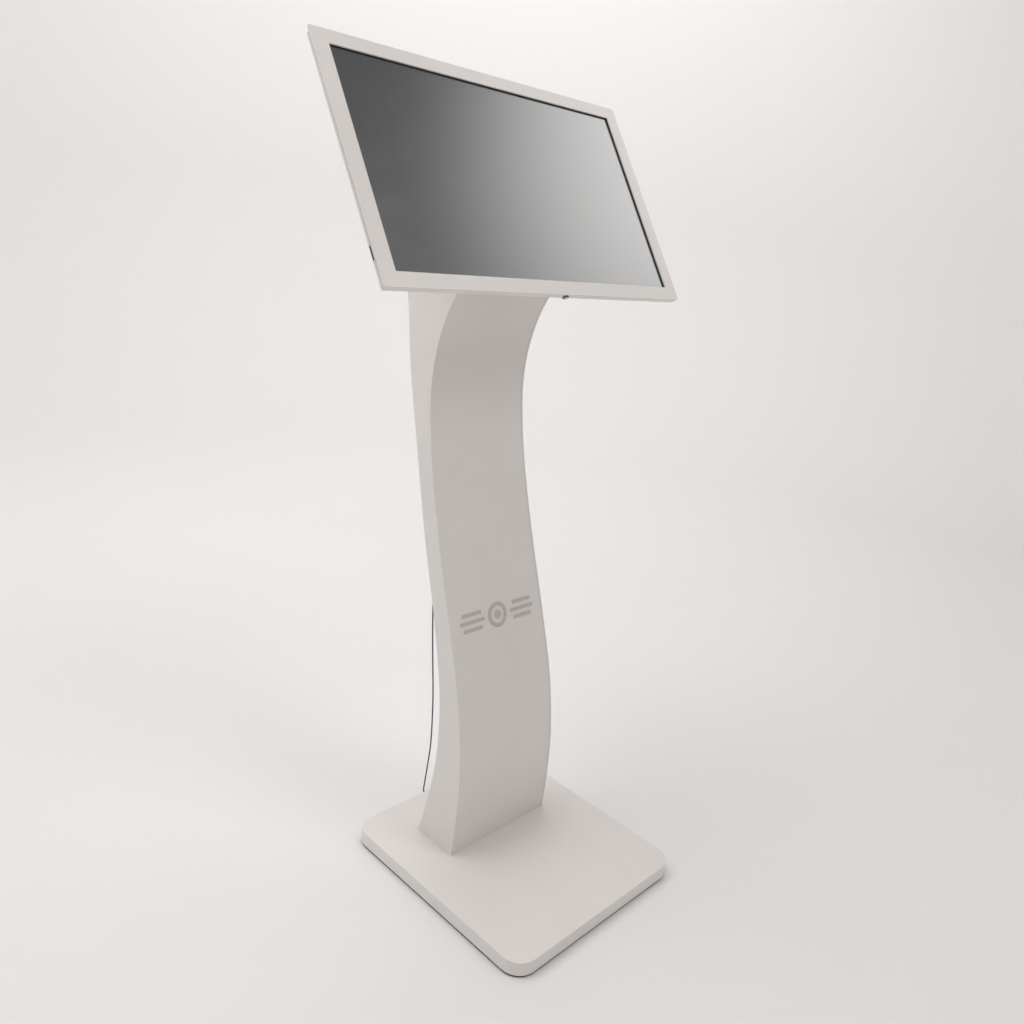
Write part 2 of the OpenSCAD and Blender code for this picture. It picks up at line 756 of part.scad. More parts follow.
// ---------- network lead ----------

// rings of points round a path, joined into one closed tube
module tube(path, r, sides) {
    n = len(path);
    rings = [for (i = [0 : n - 1])
        let(d = direction(path, i),
            u = unit(cross(d, abs(d[0]) < 0.8 ? [1, 0, 0] : [0, 1, 0])),
            v = cross(d, u))
        for (k = [0 : sides - 1]) path[i] + r * (cos(360 * k / sides) * u + sin(360 * k / sides) * v)];
    walls = [for (i = [0 : n - 2], k = [0 : sides - 1])
        let(a = i * sides + k, b = i * sides + (k + 1) % sides) [a, a + sides, b + sides, b]];
    caps = [[for (k = [0 : sides - 1]) k], [for (k = [sides - 1 : -1 : 0]) (n - 1) * sides + k]];
    polyhedron(points = rings, faces = concat(walls, caps), convexity = 10);
}

module network_lead() {
    color([0.25, 0.25, 0.26]) tube(curve(lead_route, route_steps), lead_r, 8);
}

module lead_tail() {
    color([0.25, 0.25, 0.26]) tube(curve(tail_route, route_steps), lead_r, 8);
}

module lead_coil() {
    color([0.25, 0.25, 0.26]) translate([coil_centre[0], coil_centre[1], 0.1]) rotate_extrude()
        translate([coil_r - coil_band / 2, 0]) square([coil_band, coil_h]);
}

module lead_tie() {
    black() translate([coil_centre[0] + coil_r, coil_centre[1], 0.05]) difference() {
        translate([0, 0, coil_h / 2 + 0.7]) cube([coil_band + 2.4, 4, coil_h + 1.4], center = true);
        translate([0, 0, coil_h / 2 + 0.05]) cube([coil_band + 0.2, 6, coil_h + 0.1], center = true);
    }
}

module lead_plug() {
    end = tail_route[len(tail_route) - 1];
    color([0.75, 0.77, 0.80]) translate([end[0], end[1], 0]) {
        box([0, 12], [-4, 4], [0.05, 7.4]);
        box([10, 32], [-6, 6], [0.05, 8]);
        box([14, 28], [-2.5, 2.5], [8, 9.5]);
    }
}

base_pan();
base_bottom_plate();
ballast_plate();
rubber_feet();
base_screws();
column_side_left();
column_side_right();
column_front_panel();
column_rear_panel();
column_braces();
rear_panel_screws();
foot_plate();
foot_bolts();
emblem();
neck_plate();
neck_bolts();
neck_nuts();
mains_inlet();
mains_rocker();
lead_grommet();
head_tray();
mounting_plate();
main_board();
power_supply();
speakers();
fan_housing();
fan_rotor();
card_reader();
lock_body();
lock_plug();
hinge_leaves_fixed();
hinge_pins();
hinge_leaves_moving();
hinge_screws();
rail_top();
rail_bottom();
rail_left();
rail_right();
leg_top();
leg_bottom();
leg_left();
leg_right();
corner_keys();
glass_gasket();
touch_glass();
lcd_panel();
lcd_bars();
lcd_screws();
touch_controller();
lock_catch();
network_lead();
lead_coil();
lead_tail();
lead_tie();
lead_plug();
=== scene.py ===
"""Builds the looks of a touchscreen kiosk around its frame."""

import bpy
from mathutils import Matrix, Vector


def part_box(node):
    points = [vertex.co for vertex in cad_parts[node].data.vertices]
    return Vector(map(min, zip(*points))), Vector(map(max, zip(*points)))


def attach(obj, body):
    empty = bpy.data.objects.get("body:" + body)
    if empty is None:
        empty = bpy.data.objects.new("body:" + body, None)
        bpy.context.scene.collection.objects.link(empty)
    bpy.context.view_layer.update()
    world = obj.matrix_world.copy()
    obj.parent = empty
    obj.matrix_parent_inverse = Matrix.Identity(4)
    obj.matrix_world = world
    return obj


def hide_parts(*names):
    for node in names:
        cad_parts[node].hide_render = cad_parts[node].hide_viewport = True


bl_info = {
    "name": "Touchscreen Kiosk",
    "version": (1, 0, 0),
    "blender": (4, 5, 0),
    "location": "3D View > Sidebar > Kiosk",
    "description": "Builds a leaning touchscreen on an S-curved column around its frame",
    "category": "Object",
}

import math

import bmesh
import bpy
from bpy.props import FloatProperty, FloatVectorProperty, IntProperty, PointerProperty
from bpy.types import Operator, Panel, PropertyGroup
from mathutils import Matrix, Vector

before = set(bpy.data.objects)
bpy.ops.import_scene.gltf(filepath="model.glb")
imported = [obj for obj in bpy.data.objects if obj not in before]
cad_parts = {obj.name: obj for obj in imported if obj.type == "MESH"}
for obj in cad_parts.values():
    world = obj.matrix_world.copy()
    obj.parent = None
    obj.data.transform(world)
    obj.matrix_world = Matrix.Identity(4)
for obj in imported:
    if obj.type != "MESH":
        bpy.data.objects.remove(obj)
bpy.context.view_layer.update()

MM = 0.001
CIRCLE = 2 * math.pi
EDGE_ON = math.radians(28)

# the head's own directions, from the screen's centre: x across, y back from the face, z up along it
LEAN = math.radians(33)
HEAD = Matrix.Translation((0, 192 * MM, 1308 * MM)) @ Matrix.Rotation(-LEAN, 4, "X")
# turns that point a shape's z axis to the right, to the back and to the front
QUARTER = math.radians(90)
FACE_RIGHT = Matrix.Rotation(QUARTER, 4, "Y")
FACE_BACK = Matrix.Rotation(-QUARTER, 4, "X")
FACE_FRONT = Matrix.Rotation(QUARTER, 4, "X")


# ---------- sizes and colours that can be changed ----------


def colour(name, description, default):
    return FloatVectorProperty(
        name=name, description=description, subtype="COLOR", size=3, min=0, max=1, default=default
    )


def length(name, description, millimetres, low, high):
    return FloatProperty(
        name=name,
        description=description,
        subtype="DISTANCE",
        unit="LENGTH",
        default=millimetres * MM,
        min=low * MM,
        max=high * MM,
    )


class KioskSizes(PropertyGroup):
    """Sizes of the kiosk's finishing details."""

    sheet_edge: length("Sheet edge", "Rounding of cut sheet-metal edges", 0.35, 0.1, 0.6)
    base_edge: length("Base edge", "Rounding of the base's top edge", 1.2, 0.5, 2.4)
    tray_edge: length("Tray edge", "Rounding of the head tray's folds", 0.7, 0.2, 1.2)
    rail_edge: length("Rail edge", "Rounding of the face frame's edges", 0.4, 0.1, 0.8)
    glass_edge: length("Glass edge", "Polished bevel round the glass", 0.5, 0.1, 1.0)
    lead_thickness: length("Lead thickness", "Diameter of the network lead", 3.0, 2.5, 3.0)
    bevel_steps: IntProperty(
        name="Bevel steps", description="Faces across each rounded edge", default=2, min=1, max=5
    )


class KioskColours(PropertyGroup):
    """Colours of the kiosk's finishes."""

    paint: colour("Paint", "Powder coat on the sheet steel", (0.800, 0.765, 0.740))
    emblem: colour("Emblem", "Paint of the raised emblem", (0.56, 0.525, 0.49))
    glass: colour("Glass", "Dark glass of the switched-off screen", (0.020, 0.021, 0.023))
    lead: colour("Lead", "Jacket of the network lead", (0.055, 0.055, 0.058))
    plastic: colour("Plastic", "Moulded black parts", (0.025, 0.025, 0.027))
    board: colour("Board", "Solder mask of the circuit boards", (0.012, 0.105, 0.05))
    floor: colour("Floor", "Studio floor and backdrop", (0.86, 0.855, 0.85))


# ---------- shader maths ----------


class Wire:
    """What comes out of a node; sums on it add Math nodes."""

    def __init__(self, finish, socket):
        self.finish = finish
        self.socket = socket

    def sum(self, operation, first, second):
        return self.finish.node("ShaderNodeMath", {"operation": operation}, {0: first, 1: second})

    def __add__(self, other):
        return self.sum("ADD", self, other)

    __radd__ = __add__

    def __mul__(self, other):
        return self.sum("MULTIPLY", self, other)

    __rmul__ = __mul__

    def __rsub__(self, other):
        return self.sum("SUBTRACT", other, self)


class Finish:
    """A material, built up from nodes."""

    def __init__(self, name):
        self.material = bpy.data.materials.new(name)
        self.material.use_nodes = True
        self.tree = self.material.node_tree
        self.tree.nodes.clear()
        self.place = self.node("ShaderNodeTexCoord", out="Object")

    def node(self, kind, settings=None, sockets=None, out=0):
        made = self.tree.nodes.new(kind)
        for key, value in (settings or {}).items():
            if key == "stops":
                ramp = made.color_ramp
                while len(ramp.elements) < len(value):
                    ramp.elements.new(0.5)
                for element, (position, shade) in zip(ramp.elements, value):
                    element.position = position
                    element.color = (*shade, 1)
            else:
                setattr(made, key, value)
        for key, value in (sockets or {}).items():
            if isinstance(value, Wire):
                self.tree.links.new(value.socket, made.inputs[key])
            elif hasattr(value, "__len__") and len(value) == 3 and made.inputs[key].type == "RGBA":
                made.inputs[key].default_value = (*value, 1)
            else:
                made.inputs[key].default_value = value
        return Wire(self, made.outputs[out])

    def noise(self, scale, detail=2.0, roughness=0.5, stretch=None):
        place = self.place
        if stretch:
            place = self.node("ShaderNodeMapping", {}, {"Vector": place, "Scale": stretch})
        return self.node(
            "ShaderNodeTexNoise",
            {},
            {"Vector": place, "Scale": scale, "Detail": detail, "Roughness": roughness},
            "Fac",
        )

    def ramp(self, value, *stops):
        """value sent through stops of (position, brightness)"""
        grey = [(position, (shade,) * 3) for position, shade in stops]
        return self.node("ShaderNodeValToRGB", {"stops": grey}, {"Fac": value})

    def blend(self, share, first, second):
        return self.node(
            "ShaderNodeMix", {"data_type": "RGBA"}, {0: share, 6: first, 7: second}, 2
        )

    def bump(self, height, strength, distance):
        return self.node(
            "ShaderNodeBump", {}, {"Height": height, "Strength": strength, "Distance": distance}
        )

    def surface(self, **sockets):
        named = {key.replace("_", " "): value for key, value in sockets.items()}
        shader = self.node("ShaderNodeBsdfPrincipled", {}, named)
        output = self.tree.nodes.new("ShaderNodeOutputMaterial")
        self.tree.links.new(shader.socket, output.inputs["Surface"])
        return self.material


# ---------- finishes ----------


def powder_coat(name, tint):
    """Satin powder coat: a fine orange peel over broad, faint clouds."""
    f = Finish(name)
    peel = f.noise(1300, 2, 0.55)
    cloud = f.noise(4, 3)
    handled = f.noise(38, 4, 0.6)
    darker = [part * 0.955 for part in tint]
    return f.surface(
        Base_Color=f.blend(f.ramp(cloud, (0.35, 0), (0.68, 1)), darker, tint),
        Roughness=0.36 + 0.10 * handled + 0.06 * peel,
        Normal=f.bump(peel + 0.35 * f.noise(5200, 1), 0.16, 0.09 * MM),
    )


def zinc_plate(name):
    """Zinc-plated steel: small crystals, a blue and straw cast, finger marks."""
    f = Finish(name)
    cast = f.noise(60, 3, 0.6)
    grain = f.noise(2400, 2)
    marks = f.noise(170, 4, 0.65)
    return f.surface(
        Base_Color=f.blend(f.ramp(cast, (0.35, 0), (0.7, 1)), (0.60, 0.62, 0.64), (0.68, 0.66, 0.57)),
        Metallic=1.0,
        Roughness=0.26 + 0.16 * marks + 0.08 * grain,
        Normal=f.bump(grain, 0.15, 0.05 * MM),
    )


def rolled_steel(name):
    """Bare sheet steel with its rolling lines across."""
    f = Finish(name)
    lines = f.noise(900, 3, 0.6, (0.03, 1, 1))
    stain = f.noise(22, 4, 0.62)
    return f.surface(
        Base_Color=f.blend(f.ramp(stain, (0.45, 0), (0.8, 1)), (0.50, 0.51, 0.53), (0.36, 0.35, 0.34)),
        Metallic=1.0,
        Roughness=0.28 + 0.20 * lines + 0.10 * stain,
        Normal=f.bump(lines, 0.12, 0.04 * MM),
    )


def aluminium(name):
    """Extruded aluminium, lightly drawn."""
    f = Finish(name)
    lines = f.noise(1200, 2, 0.5, (1, 1, 0.03))
    return f.surface(
        Base_Color=f.blend(lines, (0.66, 0.67, 0.69), (0.76, 0.77, 0.78)),
        Metallic=1.0,
        Roughness=0.30 + 0.18 * lines,
        Normal=f.bump(lines, 0.1, 0.03 * MM),
    )


def gold(name):
    """Gold-flashed contacts."""
    f = Finish(name)
    wear = f.noise(900, 3)
    return f.surface(
        Base_Color=f.blend(wear, (0.86, 0.60, 0.24), (0.74, 0.56, 0.30)),
        Metallic=1.0,
        Roughness=0.2 + 0.15 * wear,
        Normal=f.bump(wear, 0.05, 0.02 * MM),
    )


def rubber(name, tint):
    """Moulded rubber with a dusty bloom."""
    f = Finish(name)
    bloom = f.noise(55, 4, 0.6)
    grain = f.noise(1900, 2)
    pale = [part + 0.03 for part in tint]
    return f.surface(
        Base_Color=f.blend(f.ramp(bloom, (0.45, 0), (0.8, 1)), tint, pale),
        Roughness=0.66 + 0.14 * bloom,
        Normal=f.bump(grain, 0.25, 0.08 * MM),
    )


def textured_plastic(name, tint):
    """Black moulding with a spark-eroded texture."""
    f = Finish(name)
    sparks = f.node(
        "ShaderNodeTexVoronoi", {"feature": "F1"}, {"Vector": f.place, "Scale": 1500.0}, "Distance"
    )
    sheen = f.noise(30, 3)
    pale = [part * 1.5 for part in tint]
    return f.surface(
        Base_Color=f.blend(sheen, tint, pale),
        Roughness=0.42 + 0.16 * sheen,
        Normal=f.bump(sparks, 0.3, 0.07 * MM),
    )


def lead_jacket(name, tint):
    """Smooth vinyl jacket, faintly ribbed by the cores under it."""
    f = Finish(name)
    ribs = f.noise(420, 2, 0.5)
    dust = f.noise(90, 4, 0.6)
    dusty = [part * 1.5 + 0.01 for part in tint]
    return f.surface(
        Base_Color=f.blend(f.ramp(dust, (0.5, 0), (0.8, 1)), tint, dusty),
        Roughness=0.38 + 0.14 * dust,
        Normal=f.bump(ribs, 0.15, 0.08 * MM),
    )


def clear_plastic(name):
    """Clear polycarbonate of a network plug."""
    f = Finish(name)
    flow = f.noise(260, 3)
    return f.surface(
        Base_Color=f.blend(flow, (0.80, 0.82, 0.84), (0.90, 0.91, 0.92)),
        Roughness=0.06 + 0.08 * flow,
        Transmission_Weight=0.55,
        IOR=1.58,
    )


def screen_glass(name, tint):
    """Etched dark glass over a switched-off display, with faint wiping marks."""
    f = Finish(name)
    etch = f.noise(3800, 1)
    wiped = f.noise(7, 4, 0.6, (1, 2.2, 2.2))
    smear = f.ramp(wiped, (0.5, 0), (0.78, 1))
    paler = [part * 1.25 for part in tint]
    return f.surface(
        Base_Color=f.blend(smear, tint, paler),
        Roughness=0.20 + 0.035 * smear,
        Normal=f.bump(etch, 0.02, 0.01 * MM),
        IOR=1.62,
        Specular_IOR_Level=0.9,
        Coat_Weight=1.0,
        Coat_Roughness=0.16,
        Coat_IOR=1.7,
    )


def circuit_board(name, tint):
    """Solder mask over copper tracks, with tinned pads and white component outlines."""
    f = Finish(name)
    cells = f.node(
        "ShaderNodeTexVoronoi",
        {"feature": "F1", "distance": "CHEBYCHEV"},
        {"Vector": f.place, "Scale": 300.0, "Randomness": 0.35},
        "Distance",
    )
    tracks = f.node(
        "ShaderNodeTexVoronoi",
        {"feature": "DISTANCE_TO_EDGE", "distance": "MANHATTAN"},
        {"Vector": f.place, "Scale": 120.0, "Randomness": 0.6},
        "Distance",
    )
    copper = f.ramp(tracks, (0.0, 1), (0.05, 1), (0.08, 0))
    pads = f.ramp(cells, (0.0, 1), (0.13, 1), (0.17, 0))
    bright = [part * 2.1 for part in tint]
    masked = f.blend(copper, tint, bright)
    return f.surface(
        Base_Color=f.blend(pads, masked, (0.70, 0.70, 0.68)),
        Metallic=0.8 * pads,
        Roughness=0.42 - 0.12 * pads,
        Normal=f.bump(copper + pads, 0.25, 0.05 * MM),
    )


def cone_paper(name):
    """Pressed paper of a loudspeaker cone."""
    f = Finish(name)
    fibres = f.noise(700, 5, 0.7)
    return f.surface(
        Base_Color=f.blend(fibres, (0.03, 0.03, 0.032), (0.075, 0.072, 0.068)),
        Roughness=0.82 + 0.1 * fibres,
        Normal=f.bump(fibres, 0.4, 0.12 * MM),
    )


def studio_paper(name, tint):
    """Matt backdrop paper."""
    f = Finish(name)
    fibre = f.noise(30, 4)
    dull = [part * 0.985 for part in tint]
    return f.surface(
        Base_Color=f.blend(fibre, dull, tint),
        Roughness=0.72 + 0.1 * fibre,
        Normal=f.bump(fibre, 0.02, 0.1 * MM),
    )


finishes = {}


def finish_named(name):
    """The finish of that name, made on its first use."""
    if name not in finishes:
        shades = bpy.context.scene.kiosk_colours
        makers = {
            "paint": (powder_coat, shades.paint),
            "emblem": (powder_coat, shades.emblem),
            "lock_paint": (powder_coat, (0.11, 0.11, 0.115)),
            "zinc": (zinc_plate,),
            "steel": (rolled_steel,),
            "aluminium": (aluminium,),
            "gold": (gold,),
            "rubber": (rubber, (0.022, 0.022, 0.024)),
            "plastic": (textured_plastic, shades.plastic),
            "lead": (lead_jacket, shades.lead),
            "clear": (clear_plastic,),
            "glass": (screen_glass, shades.glass),
            "board": (circuit_board, shades.board),
            "cone": (cone_paper,),
            "paper": (studio_paper, shades.floor),
        }
        maker, *tint = makers[name]
        finishes[name] = maker(name, *tint)
    return finishes[name]


# ---------- shaping ----------

CLOSE = 0.0001 * MM
LOBE_DEPTH = 0.16


def merged(node):
    """A copy of a CAD node with its triangles joined into whole faces."""
    bm = bmesh.new()
    bm.from_mesh(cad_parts[node].data)
    bmesh.ops.remove_doubles(bm, verts=bm.verts, dist=0.004 * MM)
    bmesh.ops.dissolve_limit(
        bm, angle_limit=math.radians(0.15), verts=bm.verts, edges=bm.edges, delimit={"NORMAL"}
    )
    return bm


def sharp_edges(bm, shortest):
    """The edges longer than shortest that turn by more than EDGE_ON."""
    return [
        edge
        for edge in bm.edges
        if len(edge.link_faces) == 2
        and edge.calc_face_angle(0) > EDGE_ON
        and edge.calc_length() > shortest
    ]


def round_off(bm, edges, radius, steps=None):
    """Rounds edges by radius, in metres."""
    if edges:
        bmesh.ops.bevel(
            bm,
            geom=edges,
            offset=radius,
            offset_type="OFFSET",
            segments=steps or bpy.context.scene.kiosk_sizes.bevel_steps,
            profile=0.5,
            affect="EDGES",
            clamp_overlap=True,
            material=-1,
        )


def softened(node, radius=None, shortest=2.2):
    """A CAD node with its sharp edges rounded that are over shortest millimetres."""
    bm = merged(node)
    radius = radius or bpy.context.scene.kiosk_sizes.sheet_edge
    round_off(bm, sharp_edges(bm, shortest * MM), radius)
    return bm


def block(bm, x, y, z, place=None, radius=0.0, steps=2):
    """A block that spans x, y and z in millimetres, with rounded edges."""
    spans = [(low * MM, high * MM) for low, high in (x, y, z)]
    middle = Vector([(low + high) / 2 for low, high in spans])
    size = [high - low for low, high in spans]
    shape = Matrix.Translation(middle) @ Matrix.Diagonal((*size, 1))
    made = bmesh.ops.create_cube(bm, size=1, matrix=(place or Matrix()) @ shape)
    if radius:
        edges = {edge for vert in made["verts"] for edge in vert.link_edges}
        round_off(bm, list(edges), radius * MM, steps)


def add_shape(bm, made, place):
    """Moves a finished shape to its place and adds it to bm."""
    bmesh.ops.transform(made, matrix=place, verts=made.verts)
    mesh = bpy.data.meshes.new("shape")
    made.to_mesh(mesh)
    made.free()
    bm.from_mesh(mesh)
    bpy.data.meshes.remove(mesh)


def turned(bm, profile, place, sides=32, lobes=0, lobed=()):
    """A shape turned round place's z axis from (radius, height) in millimetres.

    The points numbered in lobed get that many lobes, as in a star-shaped recess."""
    made = bmesh.new()
    verts = [made.verts.new((radius * MM, 0, height * MM)) for radius, height in profile]
    edges = [made.edges.new(pair) for pair in zip(verts, verts[1:])]
    bmesh.ops.spin(
        made, geom=verts + edges, cent=(0, 0, 0), axis=(0, 0, 1),
        angle=CIRCLE, steps=sides, use_merge=True,
    )
    marked = [profile[number] for number in lobed]
    for vert in made.verts:
        radius, height = vert.co.xy.length, vert.co.z
        if any(abs(radius - r * MM) < CLOSE and abs(height - h * MM) < CLOSE for r, h in marked):
            share = 1 + LOBE_DEPTH * math.cos(lobes * math.atan2(vert.co.y, vert.co.x))
            vert.co.x *= share
            vert.co.y *= share
    bmesh.ops.remove_doubles(made, verts=made.verts, dist=0.0005 * MM)
    add_shape(bm, made, place)


def screw(bm, place, head, height, shank, reach):
    """A screw with a star recess: its head above place's origin, its shank below."""
    recess = head * 0.42
    profile = [
        (0, height * 0.35),
        (recess * 0.9, height * 0.35),
        (recess, height),
        (head * 0.7, height),
        (head * 0.93, height * 0.75),
        (head, height * 0.35),
        (head, 0),
        (shank, 0),
        (shank, -reach + shank * 0.6),
        (shank * 0.45, -reach),
        (0, -reach),
    ]
    turned(bm, profile, place, 24, 6, (1, 2))


def outward(bm):
    """Turns every face of a newly made shape outwards."""
    bmesh.ops.recalc_face_normals(bm, faces=bm.faces)
    return bm


def placed(name, data):
    """A new object in the scene."""
    made = bpy.data.objects.new(name, data)
    bpy.context.scene.collection.objects.link(made)
    return made


def shaped(bm, name, finish):
    """A new object of the finished shape, smooth but for its sharp edges, in its finish."""
    for face in bm.faces:
        face.smooth = True
    for edge in bm.edges:
        if len(edge.link_faces) == 2 and edge.calc_face_angle(0) > EDGE_ON:
            edge.smooth = False
    mesh = bpy.data.meshes.new(name)
    bm.to_mesh(mesh)
    bm.free()
    mesh.materials.append(finish_named(finish))
    return placed(name, mesh)


def piece(bm, name, finish, nodes=(), body="stand"):
    """Makes a piece of the kiosk, which stands for CAD nodes and rides on its body."""
    made = shaped(bm, name, finish)
    normals = made.modifiers.new("Even normals", "WEIGHTED_NORMAL")
    normals.keep_sharp = True
    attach(made, body)
    if nodes:
        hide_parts(*nodes)
    return made


def dressed(node, name, finish, slot, body="stand", radius=None, shortest=2.2):
    """Makes a piece of a CAD node's own shape with its long sharp edges rounded."""
    return piece(softened(node, radius=radius, shortest=shortest), name, finish, [node], body)


def in_head(x, y, z, turn=None):
    """A place in the head, in millimetres, with an optional turn."""
    return HEAD @ Matrix.Translation((x * MM, y * MM, z * MM)) @ (turn or Matrix())


# ---------- camera and network lead ----------

CAMERA_AT = (-1.209, -1.010, 1.225)
CAMERA_HEADING = math.radians(46.99)
CAMERA_PITCH = math.radians(-13.9)
CAMERA_ROLL = math.radians(6.73)
CAMERA_LENS = 31.57
CAMERA_SENSOR = 36
CAMERA_SHIFT = (-0.0055, -0.0584)


class KIOSK_OT_camera(Operator):
    """Stand the camera at eye height, to the front left"""

    bl_idname = "kiosk.camera"
    bl_label = "Camera"

    def execute(self, context):
        data = bpy.data.cameras.new("camera")
        data.lens = CAMERA_LENS
        data.sensor_width = CAMERA_SENSOR
        data.shift_x, data.shift_y = CAMERA_SHIFT
        made = placed("camera", data)
        made.matrix_world = (
            Matrix.Translation(CAMERA_AT)
            @ Matrix.Rotation(-CAMERA_HEADING, 4, "Z")
            @ Matrix.Rotation(QUARTER + CAMERA_PITCH, 4, "X")
            @ Matrix.Rotation(CAMERA_ROLL, 4, "Z")
        )
        context.scene.camera = made
        return {"FINISHED"}


# the lead's way down the column and along the floor, in millimetres
LEAD_ROUTE = [
    (-45, 283, 859.5), (-45, 287, 858.4), (-45, 291.5, 856.6), (-45, 296, 853),
    (-45, 299.5, 846.5), (-45, 301, 837), (-45, 300, 815), (-45, 298, 780), (-45, 293, 740),
    (-45, 287, 690), (-45, 280, 630), (-46, 272, 560), (-47, 264, 490), (-47, 256, 420),
    (-44, 249, 345), (-39, 242, 260), (-35, 240, 190), (-32, 241, 135), (-31, 245, 85),
    (-30, 249, 45), (-28, 253, 22), (-22, 257, 8), (-11, 259, 2), (5, 259, 1.6), (30, 257, 1.6),
    (60, 256, 1.6), (90, 257, 1.6), (120, 259, 1.6), (137, 260.7, 1.6), (152, 261, 1.6),
]  # fmt: skip
TAIL_ROUTE = [
    (168, 261, 10.6), (176, 261, 9.8), (184, 261, 7.4), (191, 261, 5), (198, 261, 4), (205, 261, 4),
]  # fmt: skip
ROUTE_STEPS = 4
# the coil, the plug and the tie in millimetres, the lead's whole length in metres
COIL_CENTRE = (160, 285)
COIL_OUTER, COIL_INNER = 24.0, 12.0
COIL_LAYERS = 4
COIL_BOTTOM = 1.6
COIL_STEPS = 32
LEAD_RAISED = 4.0
PLUG_AT = (204, 261)
PLUG_CONTACTS = 8
CONTACT_SPACING = 1.02
BOOT_RIBS = 5
TIE_AT = (178, 283)
TIE_WIDTH = 4
TIE_THICKNESS = 0.8
TIE_HALF, TIE_TOP, TIE_CORNER = 9.2, 13.0, 2.2


def smooth_route(points, steps):
    """The smooth curve through points, in short steps."""
    last = len(points) - 1
    through = [Vector(points[min(max(number, 0), last)]) for number in range(-1, last + 3)]
    route = []
    for number in range(1, last + 1):
        a, b, c, d = through[number - 1 : number + 3]
        for step in range(steps):
            t = step / steps
            bend = (2 * a - 5 * b + 4 * c - d) * t**2
            twist = (3 * b - a - 3 * c + d) * t**3
            route.append(0.5 * (2 * b + (c - a) * t + bend + twist))
    return route + [through[-2]]


def coil_route(thickness):
    """Flat spirals, one on another, alternately inwards and outwards, from and to the coil's front."""
    steps_in = round((COIL_OUTER - COIL_INNER) / thickness) * COIL_STEPS
    steps_up = COIL_STEPS // 4
    radii, heights = [], []
    for layer in range(COIL_LAYERS):
        first, last = (COIL_OUTER, COIL_INNER) if layer % 2 == 0 else (COIL_INNER, COIL_OUTER)
        level = COIL_BOTTOM + layer * thickness
        for step in range(steps_in):
            radii.append(first + (last - first) * step / steps_in)
            heights.append(level)
        rise = thickness if layer < COIL_LAYERS - 1 else 0
        for step in range(steps_up):
            share = step / steps_up
            radii.append(last)
            heights.append(level + rise * share * share * (3 - 2 * share))
    route = []
    for number, (radius, height) in enumerate(zip(radii, heights)):
        angle = CIRCLE * number / COIL_STEPS - QUARTER
        x = COIL_CENTRE[0] + radius * math.cos(angle)
        y = COIL_CENTRE[1] + radius * math.sin(angle)
        route.append(Vector((x, y, height)))
    return route


def lead_plug(thickness):
    """The plug's clear body, its contacts, its latch and its boot."""
    end = Matrix.Translation((PLUG_AT[0] * MM, PLUG_AT[1] * MM, 0))
    body = bmesh.new()
    block(body, (10.5, 32), (-5.85, 5.85), (0.6, 7.9), end, 0.5)
    block(body, (10.5, 13.5), (-5.4, 5.4), (0.1, 8.3), end, 0.4)
    for step in range(6):
        out, level = 14 + 2.2 * step, 8.9 - 0.18 * step
        block(body, (out, out + 2.2), (-1.9, 1.9), (level, level + 0.6), end, 0.1, 1)
    block(body, (26, 29), (-2.9, 2.9), (7.7, 8.8), end, 0.3)
    plug = piece(outward(body), "plug_body", "clear", ["lead_plug"])
    contacts = bmesh.new()
    for number in range(PLUG_CONTACTS):
        side = (number - (PLUG_CONTACTS - 1) / 2) * CONTACT_SPACING
        block(contacts, (26.5, 32.15), (side - 0.2, side + 0.2), (0.4, 2.6), end, 0.08, 1)
    gilt = piece(outward(contacts), "plug_contacts", "gold")
    boot = bmesh.new()
    lying = end @ Matrix.Translation((0, 0, LEAD_RAISED * MM)) @ FACE_RIGHT
    profile = [(thickness / 2 + 0.02, 0), (2.5, 0)]
    for rib in range(BOOT_RIBS):
        at = 0.6 + rib * 1.9
        size = 2.55 + rib * 0.28
        profile += [(size, at), (size, at + 1.1), (size - 0.55, at + 1.25), (size - 0.55, at + 1.75)]
    profile += [(3.9, 10.2), (3.9, 12), (0, 12)]
    turned(boot, profile, lying, 20)
    sleeve = piece(outward(boot), "plug_boot", "lead")
    return [plug, gilt, sleeve]


def lead_tie():
    """A woven tie over the coil, its ends tucked down on both sides."""
    bm = bmesh.new()
    outline = [(-TIE_HALF, 0.3), (-TIE_HALF, TIE_TOP - TIE_CORNER)]
    for step in range(1, 6):
        angle = math.pi - QUARTER * step / 5
        x = TIE_CORNER - TIE_HALF + TIE_CORNER * math.cos(angle)
        z = TIE_TOP - TIE_CORNER + TIE_CORNER * math.sin(angle)
        outline.append((x, z))
    outline += [(-x, z) for x, z in reversed(outline)]
    front = [bm.verts.new(((TIE_AT[0] + x) * MM, TIE_AT[1] * MM, z * MM)) for x, z in outline]
    edges = [bm.edges.new(pair) for pair in zip(front, front[1:])]
    strip = bmesh.ops.extrude_edge_only(bm, edges=edges)["geom"]
    across = [item for item in strip if isinstance(item, bmesh.types.BMVert)]
    bmesh.ops.translate(bm, vec=(0, TIE_WIDTH * MM, 0), verts=across)
    outward(bm)
    bmesh.ops.solidify(bm, geom=bm.faces[:], thickness=TIE_THICKNESS * MM)
    round_off(bm, sharp_edges(bm, 0.5 * MM), 0.12 * MM, 1)
    return piece(outward(bm), "lead_tie_strap", "plastic", ["lead_tie"])


